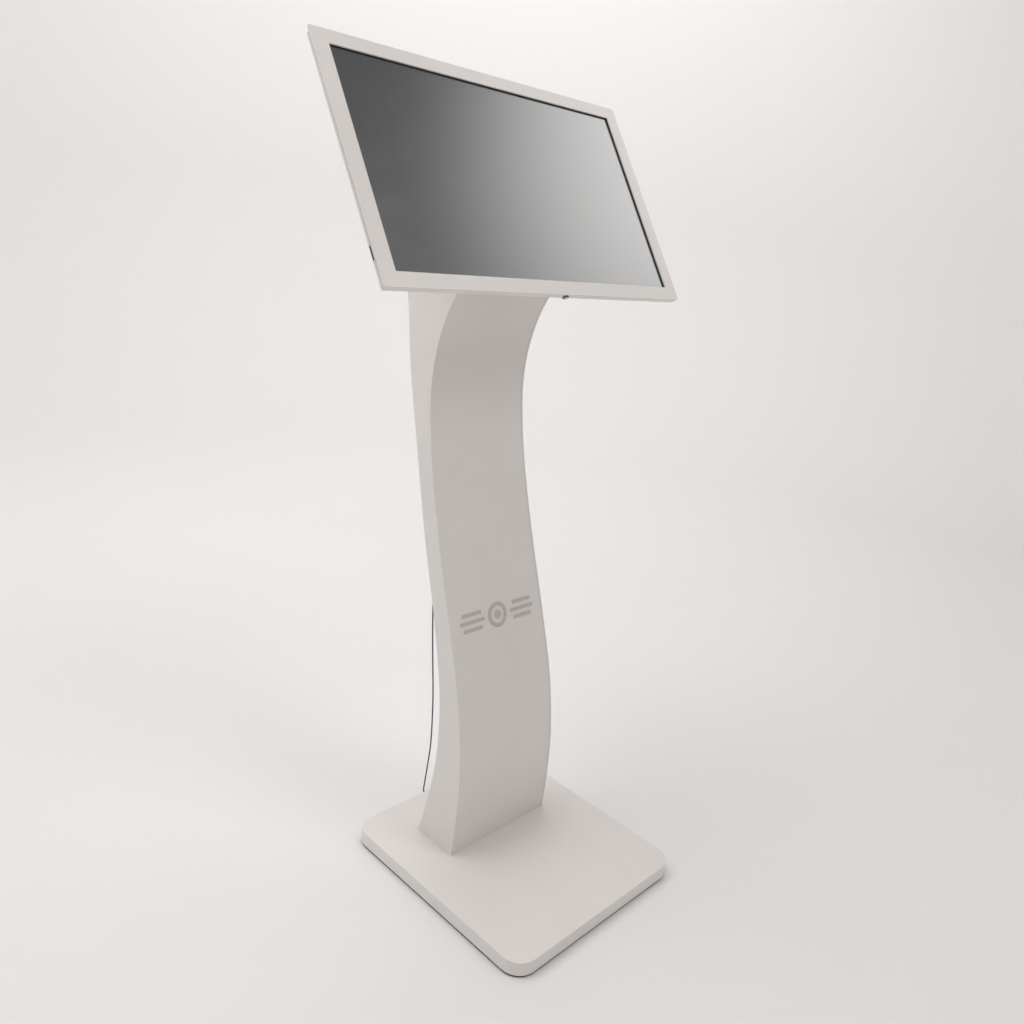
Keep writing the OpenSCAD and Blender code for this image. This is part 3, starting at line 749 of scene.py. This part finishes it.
class KIOSK_OT_lead(Operator):
    """Lay the network lead from its grommet down to its coil and plug"""

    bl_idname = "kiosk.lead"
    bl_label = "Network lead"

    def execute(self, context):
        thickness = context.scene.kiosk_sizes.lead_thickness / MM
        route = smooth_route(LEAD_ROUTE, ROUTE_STEPS) + coil_route(thickness)
        route += smooth_route(TAIL_ROUTE, ROUTE_STEPS)
        curve = bpy.data.curves.new("network_lead_jacket", "CURVE")
        curve.dimensions = "3D"
        line = curve.splines.new("POLY")
        line.points.add(len(route) - 1)
        for point, place in zip(line.points, route):
            point.co = (*(place * MM), 1)
        curve.bevel_depth = thickness / 2 * MM
        curve.bevel_resolution = 3
        curve.use_fill_caps = True
        curve.materials.append(finish_named("lead"))
        jacket = placed("network_lead_jacket", curve)
        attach(jacket, "stand")
        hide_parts("network_lead", "lead_coil", "lead_tail")
        parts = lead_plug(thickness) + [lead_tie()]
        dressed("lead_grommet", "grommet", "rubber", "foot_rubber", radius=0.25 * MM, shortest=0.3)
        return {"FINISHED"}


# ---------- base ----------

BASE_CORNER = 40.0
BRIM_WIDTH = 20.0
FOOT_INSET = 34
SCREW_INSET = 10
SIDE_SCREWS_AT, END_SCREWS_AT = 120, 110
UNDERSIDE = 4
CORNERS = [(side, far) for side in (-1, 1) for far in (-1, 1)]
# the corners of the black rubber strip that paints the shadow line under the base: how far in from the
# rim, and how high above the floor
SHADOW_STRIP = [(1.2, 0.4), (1.2, 4), (4.5, 4), (4.5, 0.4)]
SHADOW_STRIP_STEPS = 9


class KIOSK_OT_base(Operator):
    """Build the base: its painted pan, bottom plate, ballast, feet and screws"""

    bl_idname = "kiosk.base"
    bl_label = "Base"

    def execute(self, context):
        sizes = context.scene.kiosk_sizes
        pan = merged("base_pan")
        low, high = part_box("base_pan")
        brim = [
            edge
            for edge in sharp_edges(pan, 0)
            if all(self.on_brim(vert.co, low, high) for vert in edge.verts)
        ]
        round_off(pan, brim, sizes.base_edge, 4)
        piece(pan, "base_shell", "paint", ["base_pan"])
        dressed("base_bottom_plate", "base_underside", "zinc", "zinc_plate")
        dressed("ballast_plate", "ballast", "steel", "plain_steel", radius=1.2 * MM)
        self.feet(high)
        self.underside_screws(high)
        return {"FINISHED"}

    def on_brim(self, place, low, high):
        """whether a point lies on the base's top edge, and not at a bolt hole"""
        inside_x = low.x + BRIM_WIDTH * MM < place.x < high.x - BRIM_WIDTH * MM
        inside_y = low.y + BRIM_WIDTH * MM < place.y < high.y - BRIM_WIDTH * MM
        return abs(place.z - high.z) < 0.01 * MM and not (inside_x and inside_y)

    def underside_screws(self, high):
        x, y = high.x / MM - SCREW_INSET, high.y / MM - SCREW_INSET
        places = [(side * x, far * SIDE_SCREWS_AT) for side, far in CORNERS]
        places += [(side * END_SCREWS_AT, far * y) for side, far in CORNERS]
        down = Matrix.Rotation(math.pi, 4, "X")
        screws = bmesh.new()
        for x, y in places:
            screw(screws, Matrix.Translation((x * MM, y * MM, UNDERSIDE * MM)) @ down, 4, 1.6, 1.9, 7)
        piece(outward(screws), "underside_screws", "zinc", ["base_screws"])

    def feet(self, high):
        """a turned rubber foot in each corner and one in the middle, and the black strip that paints
        the shadow under the rim
        """
        bm = bmesh.new()
        x, y = high.x / MM - FOOT_INSET, high.y / MM - FOOT_INSET
        profile = [
            (0, 2.2), (3.6, 2.2), (3.6, 0.2), (4.2, 0), (11.5, 0), (11.8, 0.4), (12.6, 0.4), (12.9, 0),
            (15.2, 0), (16, 0.8), (16, 3.6), (15.6, 4), (0, 4),
        ]  # fmt: skip
        for side, far in [(0, 0), *CORNERS]:
            turned(bm, profile, Matrix.Translation((side * x * MM, far * y * MM, 0)), 40)
        # the black strip under the rim is painted shade: it stands in for the shadow under the base
        self.shadow_strip(bm, high)
        piece(outward(bm), "feet", "rubber", ["rubber_feet"])

    def shadow_strip(self, bm, high):
        """a black rubber strip under the rim, just clear of the floor, that paints the dark shadow line
        under the base
        """
        wide, deep = high.x / MM - BASE_CORNER, high.y / MM - BASE_CORNER
        loops = []
        for inset, level in SHADOW_STRIP:
            radius = BASE_CORNER - inset
            loop = []
            for corner, (side, far) in enumerate([(1, 1), (-1, 1), (-1, -1), (1, -1)]):
                for step in range(SHADOW_STRIP_STEPS + 1):
                    angle = QUARTER * (corner + step / SHADOW_STRIP_STEPS)
                    x, y = side * wide + radius * math.cos(angle), far * deep + radius * math.sin(angle)
                    loop.append(bm.verts.new((x * MM, y * MM, level * MM)))
            loops.append(loop)
        for near, far in zip(loops, loops[1:] + loops[:1]):
            for number, vert in enumerate(near):
                bm.faces.new((near[number - 1], vert, far[number], far[number - 1]))


# ---------- column ----------

REAR_SCREWS = 10
REAR_SCREW_HEAD = 2.4


class KIOSK_OT_column(Operator):
    """Build the S-curved column from its sheets, braces and screws"""

    bl_idname = "kiosk.column"
    bl_label = "Column"

    def execute(self, context):
        for node, name in [
            ("column_side_left", "left_sheet"),
            ("column_side_right", "right_sheet"),
            ("column_front_panel", "front_sheet"),
            ("column_rear_panel", "rear_sheet"),
        ]:
            dressed(node, name, "paint", "painted_steel")
        for node, name, finish, slot in [
            ("column_braces", "braces", "zinc", "zinc_plate"),
            ("foot_plate", "foot_flange", "steel", "plain_steel"),
            ("foot_bolts", "base_bolts", "zinc", "zinc_plate"),
        ]:
            dressed(node, name, finish, slot, radius=0.3 * MM)
        self.rear_screws()
        return {"FINISHED"}

    def rear_screws(self):
        """taper-headed screws that hold the rear sheet, each square to the curve"""
        bm = bmesh.new()
        sunk = Matrix.Translation((0, 0, -REAR_SCREW_HEAD * MM))
        for place in screw_places("rear_panel_screws", REAR_SCREWS):
            screw(bm, place @ sunk, 4.7, REAR_SCREW_HEAD, 2.0, 8)
        piece(outward(bm), "rear_sheet_screws", "zinc", ["rear_panel_screws"])


def screw_places(node, count):
    """Where a node's screws stand: each one's outermost face, z pointing out of it."""
    bm = merged(node)
    places = []
    left = set(bm.verts)
    while left:
        group, rim = set(), [left.pop()]
        while rim:
            vert = rim.pop()
            group.add(vert)
            near = {other for edge in vert.link_edges for other in edge.verts} & left
            left -= near
            rim += list(near)
        caps = [
            face
            for face in {face for vert in group for face in vert.link_faces}
            if len(face.verts) > 8 and face.normal.y > 0.3
        ]
        outer = max(caps, key=lambda face: face.normal.dot(face.calc_center_median()))
        turn = outer.normal.to_track_quat("Z", "Y").to_matrix().to_4x4()
        places.append(Matrix.Translation(outer.calc_center_median()) @ turn)
    bm.free()
    if len(places) != count:
        raise RuntimeError(f"{node} has {len(places)} screws and not {count}")
    return places


class KIOSK_OT_emblem(Operator):
    """Build the raised ring and bars on the column's front"""

    bl_idname = "kiosk.emblem"
    bl_label = "Emblem"

    def execute(self, context):
        dressed("emblem", "emblem_badge", "emblem", "emblem_paint", radius=0.15 * MM, shortest=1.0)
        return {"FINISHED"}


class KIOSK_OT_neck(Operator):
    """Build the plates, bolts and nuts that join the head to the column"""

    bl_idname = "kiosk.neck"
    bl_label = "Neck"

    def execute(self, context):
        for node, name, finish, slot in [
            ("neck_plate", "neck_flange", "steel", "plain_steel"),
            ("mounting_plate", "stiffener", "steel", "plain_steel"),
            ("neck_bolts", "neck_bolt_set", "zinc", "zinc_plate"),
            ("neck_nuts", "neck_nut_set", "zinc", "zinc_plate"),
        ]:
            dressed(node, name, finish, slot, radius=0.3 * MM)
        return {"FINISHED"}


# the inlet's three flat pins: x and height of each, half its width and height, and its length
INLET_PINS = [(2.5, 222), (8.5, 218), (14.5, 222)]
PIN_HALF = (1.05, 2.1)
PIN_LENGTH = 14.6
INLET_DEPTH = 18.5


class KIOSK_OT_supply(Operator):
    """Build the mains inlet and its switch"""

    bl_idname = "kiosk.supply"
    bl_label = "Mains inlet"

    def execute(self, context):
        moulded = {"radius": 0.5 * MM, "shortest": 1.5}
        dressed("mains_inlet", "inlet", "plastic", "black_plastic", **moulded)
        pins = bmesh.new()
        low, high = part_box("mains_inlet")
        root = high.y / MM - INLET_DEPTH
        for x, z in INLET_PINS:
            wide, tall = (x - PIN_HALF[0], x + PIN_HALF[0]), (z - PIN_HALF[1], z + PIN_HALF[1])
            block(pins, wide, (root, root + PIN_LENGTH), tall, None, 0.5)
        piece(outward(pins), "inlet_pins", "aluminium")
        dressed("mains_rocker", "rocker", "plastic", "black_plastic", "rocker", **moulded)
        return {"FINISHED"}


# ---------- head, fixed half ----------

TRAY_FLOOR = 48.5
FAN_AT = (-215, 130)
FAN_FRONT = 33.5
FAN_BLADES = 7
BLADE_ROOT, BLADE_REACH, BLADE_CHORD = 12.4, 14.6, 9.4
BLADE_PITCH, BLADE_TWIST, BLADE_SWEEP = math.radians(44), math.radians(16), math.radians(10)
BLADE_CAMBER, BLADE_DEPTH, BLADE_FLATTENED, BLADE_THICKNESS = 1.1, 8.3, 0.7, 1.1
BOARD_FACE = 42.0
BOARD_X, BOARD_Z = (-300, -130), (-20, 90)
BOARD_THICKNESS = 1.6
SPACER_INSET = 5
# where the main board's chips and capacitors stand: x, z and, for chips, width and height
CHIPS = [
    (-285, 62, 14, 14), (-262, 66, 8, 6), (-200, 52, 16, 22), (-176, 50, 10, 14), (-160, 66, 12, 12),
    (-240, 4, 10, 8), (-222, 2, 6, 6), (-284, 12, 9, 5), (-284, 22, 9, 5), (-146, 40, 8, 12),
]  # fmt: skip
CAPACITORS = [
    (-262, 26), (-262, 36), (-262, 46), (-203, 82), (-192, 82), (-181, 82), (-205, -8), (-142, 8),
]  # fmt: skip
FINS = 11
FIN_SPACING = 3.85
SOCKETS_X = (-290, -270, -250)
SUPPLY_CLAMPS = 7
SPEAKERS_AT = (250, -150)
CONES_APART = 28
TOUCH_CONTACTS = 5


class KIOSK_OT_tray(Operator):
    """Build the head's rear tray and its card reader"""

    bl_idname = "kiosk.tray"
    bl_label = "Rear tray"

    def execute(self, context):
        tray_edge = context.scene.kiosk_sizes.tray_edge
        dressed("head_tray", "rear_tray", "paint", "painted_steel", radius=tray_edge, shortest=4)
        dressed("card_reader", "card_slot", "plastic", "black_plastic", radius=0.25 * MM, shortest=1)
        return {"FINISHED"}


class KIOSK_OT_electronics(Operator):
    """Build the main board, power supply, speakers and touch controller"""

    bl_idname = "kiosk.electronics"
    bl_label = "Electronics"

    def execute(self, context):
        self.main_board()
        self.power_supply()
        self.speakers()
        self.touch_controller()
        return {"FINISHED"}

    def main_board(self):
        board = bmesh.new()
        block(board, BOARD_X, (BOARD_FACE, BOARD_FACE + BOARD_THICKNESS), BOARD_Z, HEAD, 0.3)
        piece(outward(board), "board", "board", ["main_board"])
        spacers = bmesh.new()
        for x in (BOARD_X[0] + SPACER_INSET, BOARD_X[1] - SPACER_INSET):
            for z in (BOARD_Z[0] + SPACER_INSET, BOARD_Z[1] - SPACER_INSET):
                behind = in_head(x, BOARD_FACE + BOARD_THICKNESS, z, FACE_BACK)
                turned(spacers, [(0, 0), (3, 0), (3, 4.9), (0, 4.9)], behind, 6)
                screw(spacers, in_head(x, BOARD_FACE, z, FACE_FRONT), 2.9, 1.5, 1.4, 4)
        piece(outward(spacers), "board_spacers", "zinc")
        self.heat_sink()
        self.board_chips()
        self.board_cans()

    def heat_sink(self):
        sink = bmesh.new()
        block(sink, (-250, -210), (39.5, BOARD_FACE), (20, 60), HEAD, 0.3)
        for number in range(FINS):
            x = -250 + number * FIN_SPACING
            block(sink, (x, x + 1.5), (33.9, 39.6), (20.5, 59.5), HEAD, 0.2, 1)
        piece(outward(sink), "heat_sink", "aluminium")

    def board_chips(self):
        """two memory sockets, each two bars with closed ends round its card, and the chips"""
        black = bmesh.new()
        tall = (38, BOARD_FACE)
        for z in (0, 18):
            for x, up in [
                ((-195, -150), (z, z + 3)),
                ((-195, -150), (z + 9, z + 12)),
                ((-195, -192), (z + 2, z + 10)),
                ((-153, -150), (z + 2, z + 10)),
            ]:
                block(black, x, tall, up, HEAD, 0.3)
            block(black, (-191, -154), (38.8, BOARD_FACE), (z + 5.2, z + 6.8), HEAD, 0.1)
        for x, z, wide, high in CHIPS:
            block(black, (x, x + wide), (40.8, BOARD_FACE), (z, z + high), HEAD, 0.15)
        piece(outward(black), "board_chips", "plastic")

    def board_cans(self):
        """the capacitors and three shielded sockets"""
        cans = bmesh.new()
        can = [(0, 0), (3.2, 0), (3.2, 0.8), (3.0, 1.2), (3.2, 1.6), (3.2, 7.4), (2.9, 8), (0, 8)]
        for x, z in CAPACITORS:
            turned(cans, can, in_head(x, BOARD_FACE, z, FACE_FRONT), 20)
        for x in SOCKETS_X:
            for wide, deep, high in [
                ((x, x + 15), (31, 31.6), (-20, -2)),
                ((x, x + 0.6), (31, BOARD_FACE), (-20, -2)),
                ((x + 14.4, x + 15), (31, BOARD_FACE), (-20, -2)),
                ((x, x + 15), (31, BOARD_FACE), (-2.6, -2)),
                ((x + 2, x + 13), (35, 37), (-18, -3)),
            ]:
                block(cans, wide, deep, high, HEAD, 0.2)
        piece(outward(cans), "board_cans", "aluminium")

    def power_supply(self):
        dressed("power_supply", "supply_case", "aluminium", "supply_case", radius=0.6 * MM, shortest=4)
        clamps = bmesh.new()
        block(clamps, (288, 299), (24.5, 28.6), (-16, 58), HEAD, 0.4)
        for number in range(SUPPLY_CLAMPS):
            z = -12 + number * 10
            block(clamps, (286.5, 300), (23.2, 28.6), (z + 4.6, z + 5.6), HEAD, 0.1, 1)
        piece(outward(clamps), "supply_terminals", "plastic")

    def speakers(self):
        """two boxes, each with a pair of drivers that face the vents behind them"""
        dressed("speakers", "speaker_boxes", "plastic", "black_plastic", radius=1.0 * MM, shortest=12)
        cones = bmesh.new()
        dome = [(0, 1.9), (2.4, 1.6), (4.4, 0.8), (5, 0.5)]
        surround = [(12.4, 2.0), (13.1, 2.5), (14.1, 2.7), (15.1, 2.4), (15.7, 1.7)]
        rim = [(16.8, 1.7), (16.8, 0), (0, 0)]
        for side, end in CORNERS:
            at = side * SPEAKERS_AT[0] + end * CONES_APART
            place = in_head(at, TRAY_FLOOR - 3, SPEAKERS_AT[1], FACE_BACK)
            turned(cones, dome + surround + rim, place, 40)
        piece(outward(cones), "speaker_cones", "cone")

    def touch_controller(self):
        board = bmesh.new()
        block(board, (165, 195), (24.5, 26), (-110, -50), HEAD, 0.2)
        piece(outward(board), "touch_board", "board", ["touch_controller"], body="front")
        parts = bmesh.new()
        block(parts, (174, 186), (26, 27.1), (-90, -78), HEAD, 0.15)
        block(parts, (170, 190), (26, 29), (-62, -56), HEAD, 0.3)
        for number in range(TOUCH_CONTACTS):
            x = 168 + number * 4.5
            block(parts, (x, x + 2.4), (26, 26.8), (-104, -102.6), HEAD, 0.1, 1)
        for z in (-105, -55):
            turned(parts, [(0, 0), (2.9, 0), (2.9, 1.5), (0, 1.5)], in_head(180, 23, z, FACE_BACK), 6)
        piece(outward(parts), "touch_parts", "plastic", body="front")


class KIOSK_OT_fan(Operator):
    """Build the fan's housing and its seven-bladed rotor"""

    bl_idname = "kiosk.fan"
    bl_label = "Fan"

    def execute(self, context):
        dressed("fan_housing", "fan_frame", "plastic", "black_plastic", radius=0.5 * MM, shortest=6)
        x, z = FAN_AT
        rotor = bmesh.new()
        bore = [(0, 11.6), (2.05, 11.6), (2.05, 3)]
        hub = [(2.05, 3), (11.4, 3), (13, 4.4), (13, 13.5), (0, 13.5), *bore]
        turned(rotor, hub, in_head(x, FAN_FRONT, z, FACE_BACK), 48)
        outward(rotor)
        for number in range(FAN_BLADES):
            turn = Matrix.Rotation(CIRCLE * number / FAN_BLADES, 4, "Y")
            self.blade(rotor, in_head(x, FAN_FRONT, z, turn))
        piece(rotor, "fan_blades", "plastic", ["fan_rotor"], body="fan")
        return {"FINISHED"}

    def blade(self, bm, place):
        """one swept, twisted blade from the hub out along x"""
        blade = bmesh.new()
        bmesh.ops.create_grid(blade, x_segments=8, y_segments=6, size=0.5)
        for vert in blade.verts:
            out, along = vert.co.x + 0.5, vert.co.y
            radius = BLADE_ROOT + BLADE_REACH * out
            pitch = BLADE_PITCH - BLADE_TWIST * out
            chord = BLADE_CHORD * along
            camber = BLADE_CAMBER * (1 - 4 * along * along)
            across = chord * math.sin(pitch) + camber * math.cos(pitch)
            depth = BLADE_DEPTH + chord * math.cos(pitch) * BLADE_FLATTENED - camber * math.sin(pitch)
            angle = BLADE_SWEEP * out * out + across / radius
            vert.co = Vector((radius * math.cos(angle), depth, radius * math.sin(angle))) * MM
        bmesh.ops.solidify(blade, geom=blade.faces[:], thickness=BLADE_THICKNESS * MM)
        bmesh.ops.recalc_face_normals(blade, faces=blade.faces)
        add_shape(bm, blade, place)


class KIOSK_OT_lock(Operator):
    """Build the cam lock under the head and the catch that it holds"""

    bl_idname = "kiosk.lock"
    bl_label = "Lock"

    def execute(self, context):
        dressed("lock_body", "lock_barrel", "lock_paint", "dark_metal", radius=0.4 * MM, shortest=0.2)
        dressed("lock_plug", "lock_cam", "zinc", "zinc_plate", "lock", 0.2 * MM, 0.9)
        dressed("lock_catch", "lock_keeper", "zinc", "zinc_plate", "front", 0.2 * MM, 0.9)
        return {"FINISHED"}


HINGES_X = (-230, 230)
HINGE_SCREWS = (-28, 0, 28)
HINGE_LEAF = (14.5, 216.2)


class KIOSK_OT_hinges(Operator):
    """Build the two hinges along the head's top edge"""

    bl_idname = "kiosk.hinges"
    bl_label = "Hinges"

    def execute(self, context):
        for node, name, body, finish, slot in [
            ("hinge_leaves_fixed", "rear_hinge_leaves", "stand", "zinc", "zinc_plate"),
            ("hinge_leaves_moving", "front_hinge_leaves", "front", "zinc", "zinc_plate"),
            ("hinge_pins", "hinge_rods", "stand", "steel", "plain_steel"),
        ]:
            dressed(node, name, finish, slot, body, 0.2 * MM, 1.5)
        screws = bmesh.new()
        for hinge in HINGES_X:
            for step in HINGE_SCREWS:
                screw(screws, in_head(hinge + step, *HINGE_LEAF), 2.2, 1.0, 1.1, 1.2)
        piece(outward(screws), "hinge_screw_set", "zinc", ["hinge_screws"])
        return {"FINISHED"}


# ---------- head, opening front ----------

FRAME_HALF = (381, 224)
# how far a corner's cut climbs for each millimetre across, and how near to it counts as on it
CUT_SLOPE = 27 / 32
CUT_REACH = 0.4
DISPLAY_HALF = (358, 205.5)
SCREWS_X, SCREWS_Z = (-180, 180), (-170, -20, 20, 170)


class KIOSK_OT_rails(Operator):
    """Build the mitred face frame with its legs, its corner keys and the glass gasket"""

    bl_idname = "kiosk.rails"
    bl_label = "Face frame"

    def execute(self, context):
        to_face = HEAD.inverted()
        for side in ("top", "bottom", "left", "right"):
            bm = merged("rail_" + side)
            edges = [
                edge
                for edge in sharp_edges(bm, 1.0 * MM)
                if not all(self.on_cut(to_face @ vert.co) for vert in edge.verts)
            ]
            round_off(bm, edges, context.scene.kiosk_sizes.rail_edge)
            piece(bm, side + "_rail", "paint", ["rail_" + side], body="front")
            dressed("leg_" + side, side + "_leg", "paint", "painted_steel", "front", 0.3 * MM)
        dressed("corner_keys", "mitre_keys", "zinc", "zinc_plate", "front", 0.2 * MM)
        dressed("glass_gasket", "glass_seal", "rubber", "gasket_rubber", "front", 0.15 * MM)
        return {"FINISHED"}

    def on_cut(self, place):
        """whether a point in the head lies on a corner's diagonal cut"""
        across, up = abs(place.x) / MM, abs(place.z) / MM
        return abs((FRAME_HALF[0] - across) * CUT_SLOPE - (FRAME_HALF[1] - up)) < CUT_REACH


class KIOSK_OT_screen(Operator):
    """Build the glass, the display behind it, and the bars and screws that hold them"""

    bl_idname = "kiosk.screen"
    bl_label = "Screen"

    def execute(self, context):
        glass = merged("touch_glass")
        round_off(glass, sharp_edges(glass, 0.2 * MM), context.scene.kiosk_sizes.glass_edge, 2)
        piece(glass, "glass_sheet", "glass", ["touch_glass"], body="front")
        self.display()
        dressed("lcd_bars", "display_bars", "zinc", "zinc_plate", "front", 0.4 * MM, 3)
        screws = bmesh.new()
        for x in SCREWS_X:
            for z in SCREWS_Z:
                screw(screws, in_head(x, 23, z, FACE_BACK), 3.8, 2, 2, 2)
        piece(outward(screws), "display_screws", "zinc", ["lcd_screws"], body="front")
        return {"FINISHED"}

    def display(self):
        """the display's pressed steel back, with raised fields and a ribbon cover"""
        back = bmesh.new()
        wide, high = DISPLAY_HALF
        block(back, (-wide, wide), (9, 19.6), (-high, high), HEAD, 1.2, 3)
        for x in [(-330, -220), (-160, -30), (30, 160), (210, 320)]:
            for z in [(-185, -65), (-50, 70), (95, 180)]:
                block(back, x, (18.6, 20.6), z, HEAD, 0.9)
        piece(outward(back), "display_back", "steel", ["lcd_panel"], body="front")
        cover = bmesh.new()
        block(cover, (-60, 60), (19.4, 20.95), (-203, -192), HEAD, 0.4)
        piece(outward(cover), "ribbon_cover", "plastic", body="front")


# ---------- studio ----------

FLOOR_REACH = 3.4
COVE = 1.4
COVE_STEPS = 12
WALL_TOP = 3.5


class KIOSK_OT_stage(Operator):
    """Set the pale floor with its rising cove, the soft lights and the sky"""

    bl_idname = "kiosk.stage"
    bl_label = "Studio"

    def execute(self, context):
        self.floor()
        self.sky(context)
        for name, at, aim, wide, high, power, shade in LIGHTS:
            self.soft_light(name, at, aim, wide, high, power, shade)
        context.scene.view_settings.view_transform = "Standard"
        return {"FINISHED"}

    def floor(self):
        bm = bmesh.new()
        profile = [(0, 0), (0.6, 0), (1.6, 0), (FLOOR_REACH, 0)]
        for step in range(1, COVE_STEPS + 1):
            angle = QUARTER * step / COVE_STEPS
            profile.append((FLOOR_REACH + COVE * math.sin(angle), COVE * (1 - math.cos(angle))))
        profile.append((FLOOR_REACH + COVE, WALL_TOP))
        turned(bm, [(radius / MM, height / MM) for radius, height in profile], Matrix(), 96)
        shaped(bm, "studio_floor", "paper")

    def sky(self, context):
        """grey all round, with the soft bright patch that the glass mirrors on its right"""
        world = bpy.data.worlds.new("studio")
        world.use_nodes = True
        context.scene.world = world
        nodes, links = world.node_tree.nodes, world.node_tree.links
        nodes.clear()
        place = nodes.new("ShaderNodeTexCoord")
        towards = nodes.new("ShaderNodeVectorMath")
        ramp = nodes.new("ShaderNodeValToRGB")
        sky = nodes.new("ShaderNodeBackground")
        output = nodes.new("ShaderNodeOutputWorld")
        towards.operation = "DOT_PRODUCT"
        towards.inputs[1].default_value = Vector(PATCH_TOWARDS).normalized()
        sky.inputs["Strength"].default_value = PATCH_STRENGTH
        ramp.color_ramp.interpolation = "EASE"
        stops = ramp.color_ramp.elements
        stops[0].position, stops[0].color = SKY_GREY
        stops[1].position, stops[1].color = SKY_PATCH
        links.new(place.outputs["Generated"], towards.inputs[0])
        links.new(towards.outputs["Value"], ramp.inputs[0])
        links.new(ramp.outputs[0], sky.inputs["Color"])
        links.new(sky.outputs[0], output.inputs["Surface"])

    def soft_light(self, name, at, aim, wide, high, power, shade):
        data = bpy.data.lights.new(name, "AREA")
        data.shape = "RECTANGLE"
        data.size, data.size_y = wide, high
        data.energy = power
        data.color = shade
        made = placed(name, data)
        made.location = at
        made.rotation_mode = "QUATERNION"
        made.rotation_quaternion = (Vector(aim) - Vector(at)).to_track_quat("-Z", "Y")


# name, place, what it points at, width, height, power, colour
LIGHTS = [
    ("left_light", (-1.7, 0.9, 2.7), (-0.1, 0.2, 1.3), 1.3, 1.3, 10, (0.98, 0.99, 1.0)),
    ("front_light", (0.9, -1.9, 3.7), (0, 0, 0.5), 1.5, 1.5, 26, (1.0, 0.96, 0.93)),
    ("top_light", (-1.0, 1.3, 4.2), (-0.1, 0.3, 0), 2.4, 2.4, 52, (1.0, 0.99, 0.98)),
    ("back_light", (1.7, 2.0, 4.1), (3.2, 4.0, 1.2), 3.2, 3.2, 64, (1.0, 0.985, 0.97)),
]
PATCH_TOWARDS = (0.86, -0.12, 0.50)
PATCH_STRENGTH = 2.6
SKY_GREY = (0.93, (0.11, 0.11, 0.11, 1))
SKY_PATCH = (0.999, (1.0, 0.99, 0.98, 1))


# ---------- panel ----------

OPERATORS = [
    KIOSK_OT_camera,
    KIOSK_OT_lead,
    KIOSK_OT_base,
    KIOSK_OT_column,
    KIOSK_OT_emblem,
    KIOSK_OT_neck,
    KIOSK_OT_supply,
    KIOSK_OT_tray,
    KIOSK_OT_electronics,
    KIOSK_OT_fan,
    KIOSK_OT_lock,
    KIOSK_OT_hinges,
    KIOSK_OT_rails,
    KIOSK_OT_screen,
    KIOSK_OT_stage,
]


class KIOSK_PT_build(Panel):
    """Lists the kiosk's sizes, colours and building steps"""

    bl_label = "Touchscreen Kiosk"
    bl_idname = "KIOSK_PT_build"
    bl_space_type = "VIEW_3D"
    bl_region_type = "UI"
    bl_category = "Kiosk"

    def draw(self, context):
        for settings in (context.scene.kiosk_sizes, context.scene.kiosk_colours):
            box = self.layout.box()
            for key in settings.__annotations__:
                box.prop(settings, key)
        column = self.layout.column(align=True)
        for operator in OPERATORS:
            column.operator(operator.bl_idname)


CLASSES = [KioskSizes, KioskColours, *OPERATORS, KIOSK_PT_build]


def register():
    for kind in CLASSES:
        bpy.utils.register_class(kind)
    bpy.types.Scene.kiosk_sizes = PointerProperty(type=KioskSizes)
    bpy.types.Scene.kiosk_colours = PointerProperty(type=KioskColours)


def unregister():
    del bpy.types.Scene.kiosk_colours
    del bpy.types.Scene.kiosk_sizes
    for kind in reversed(CLASSES):
        bpy.utils.unregister_class(kind)


def main():
    register()
    for operator in OPERATORS:
        group, step = operator.bl_idname.split(".")
        getattr(getattr(bpy.ops, group), step)()


if __name__ == "__main__":
    main()
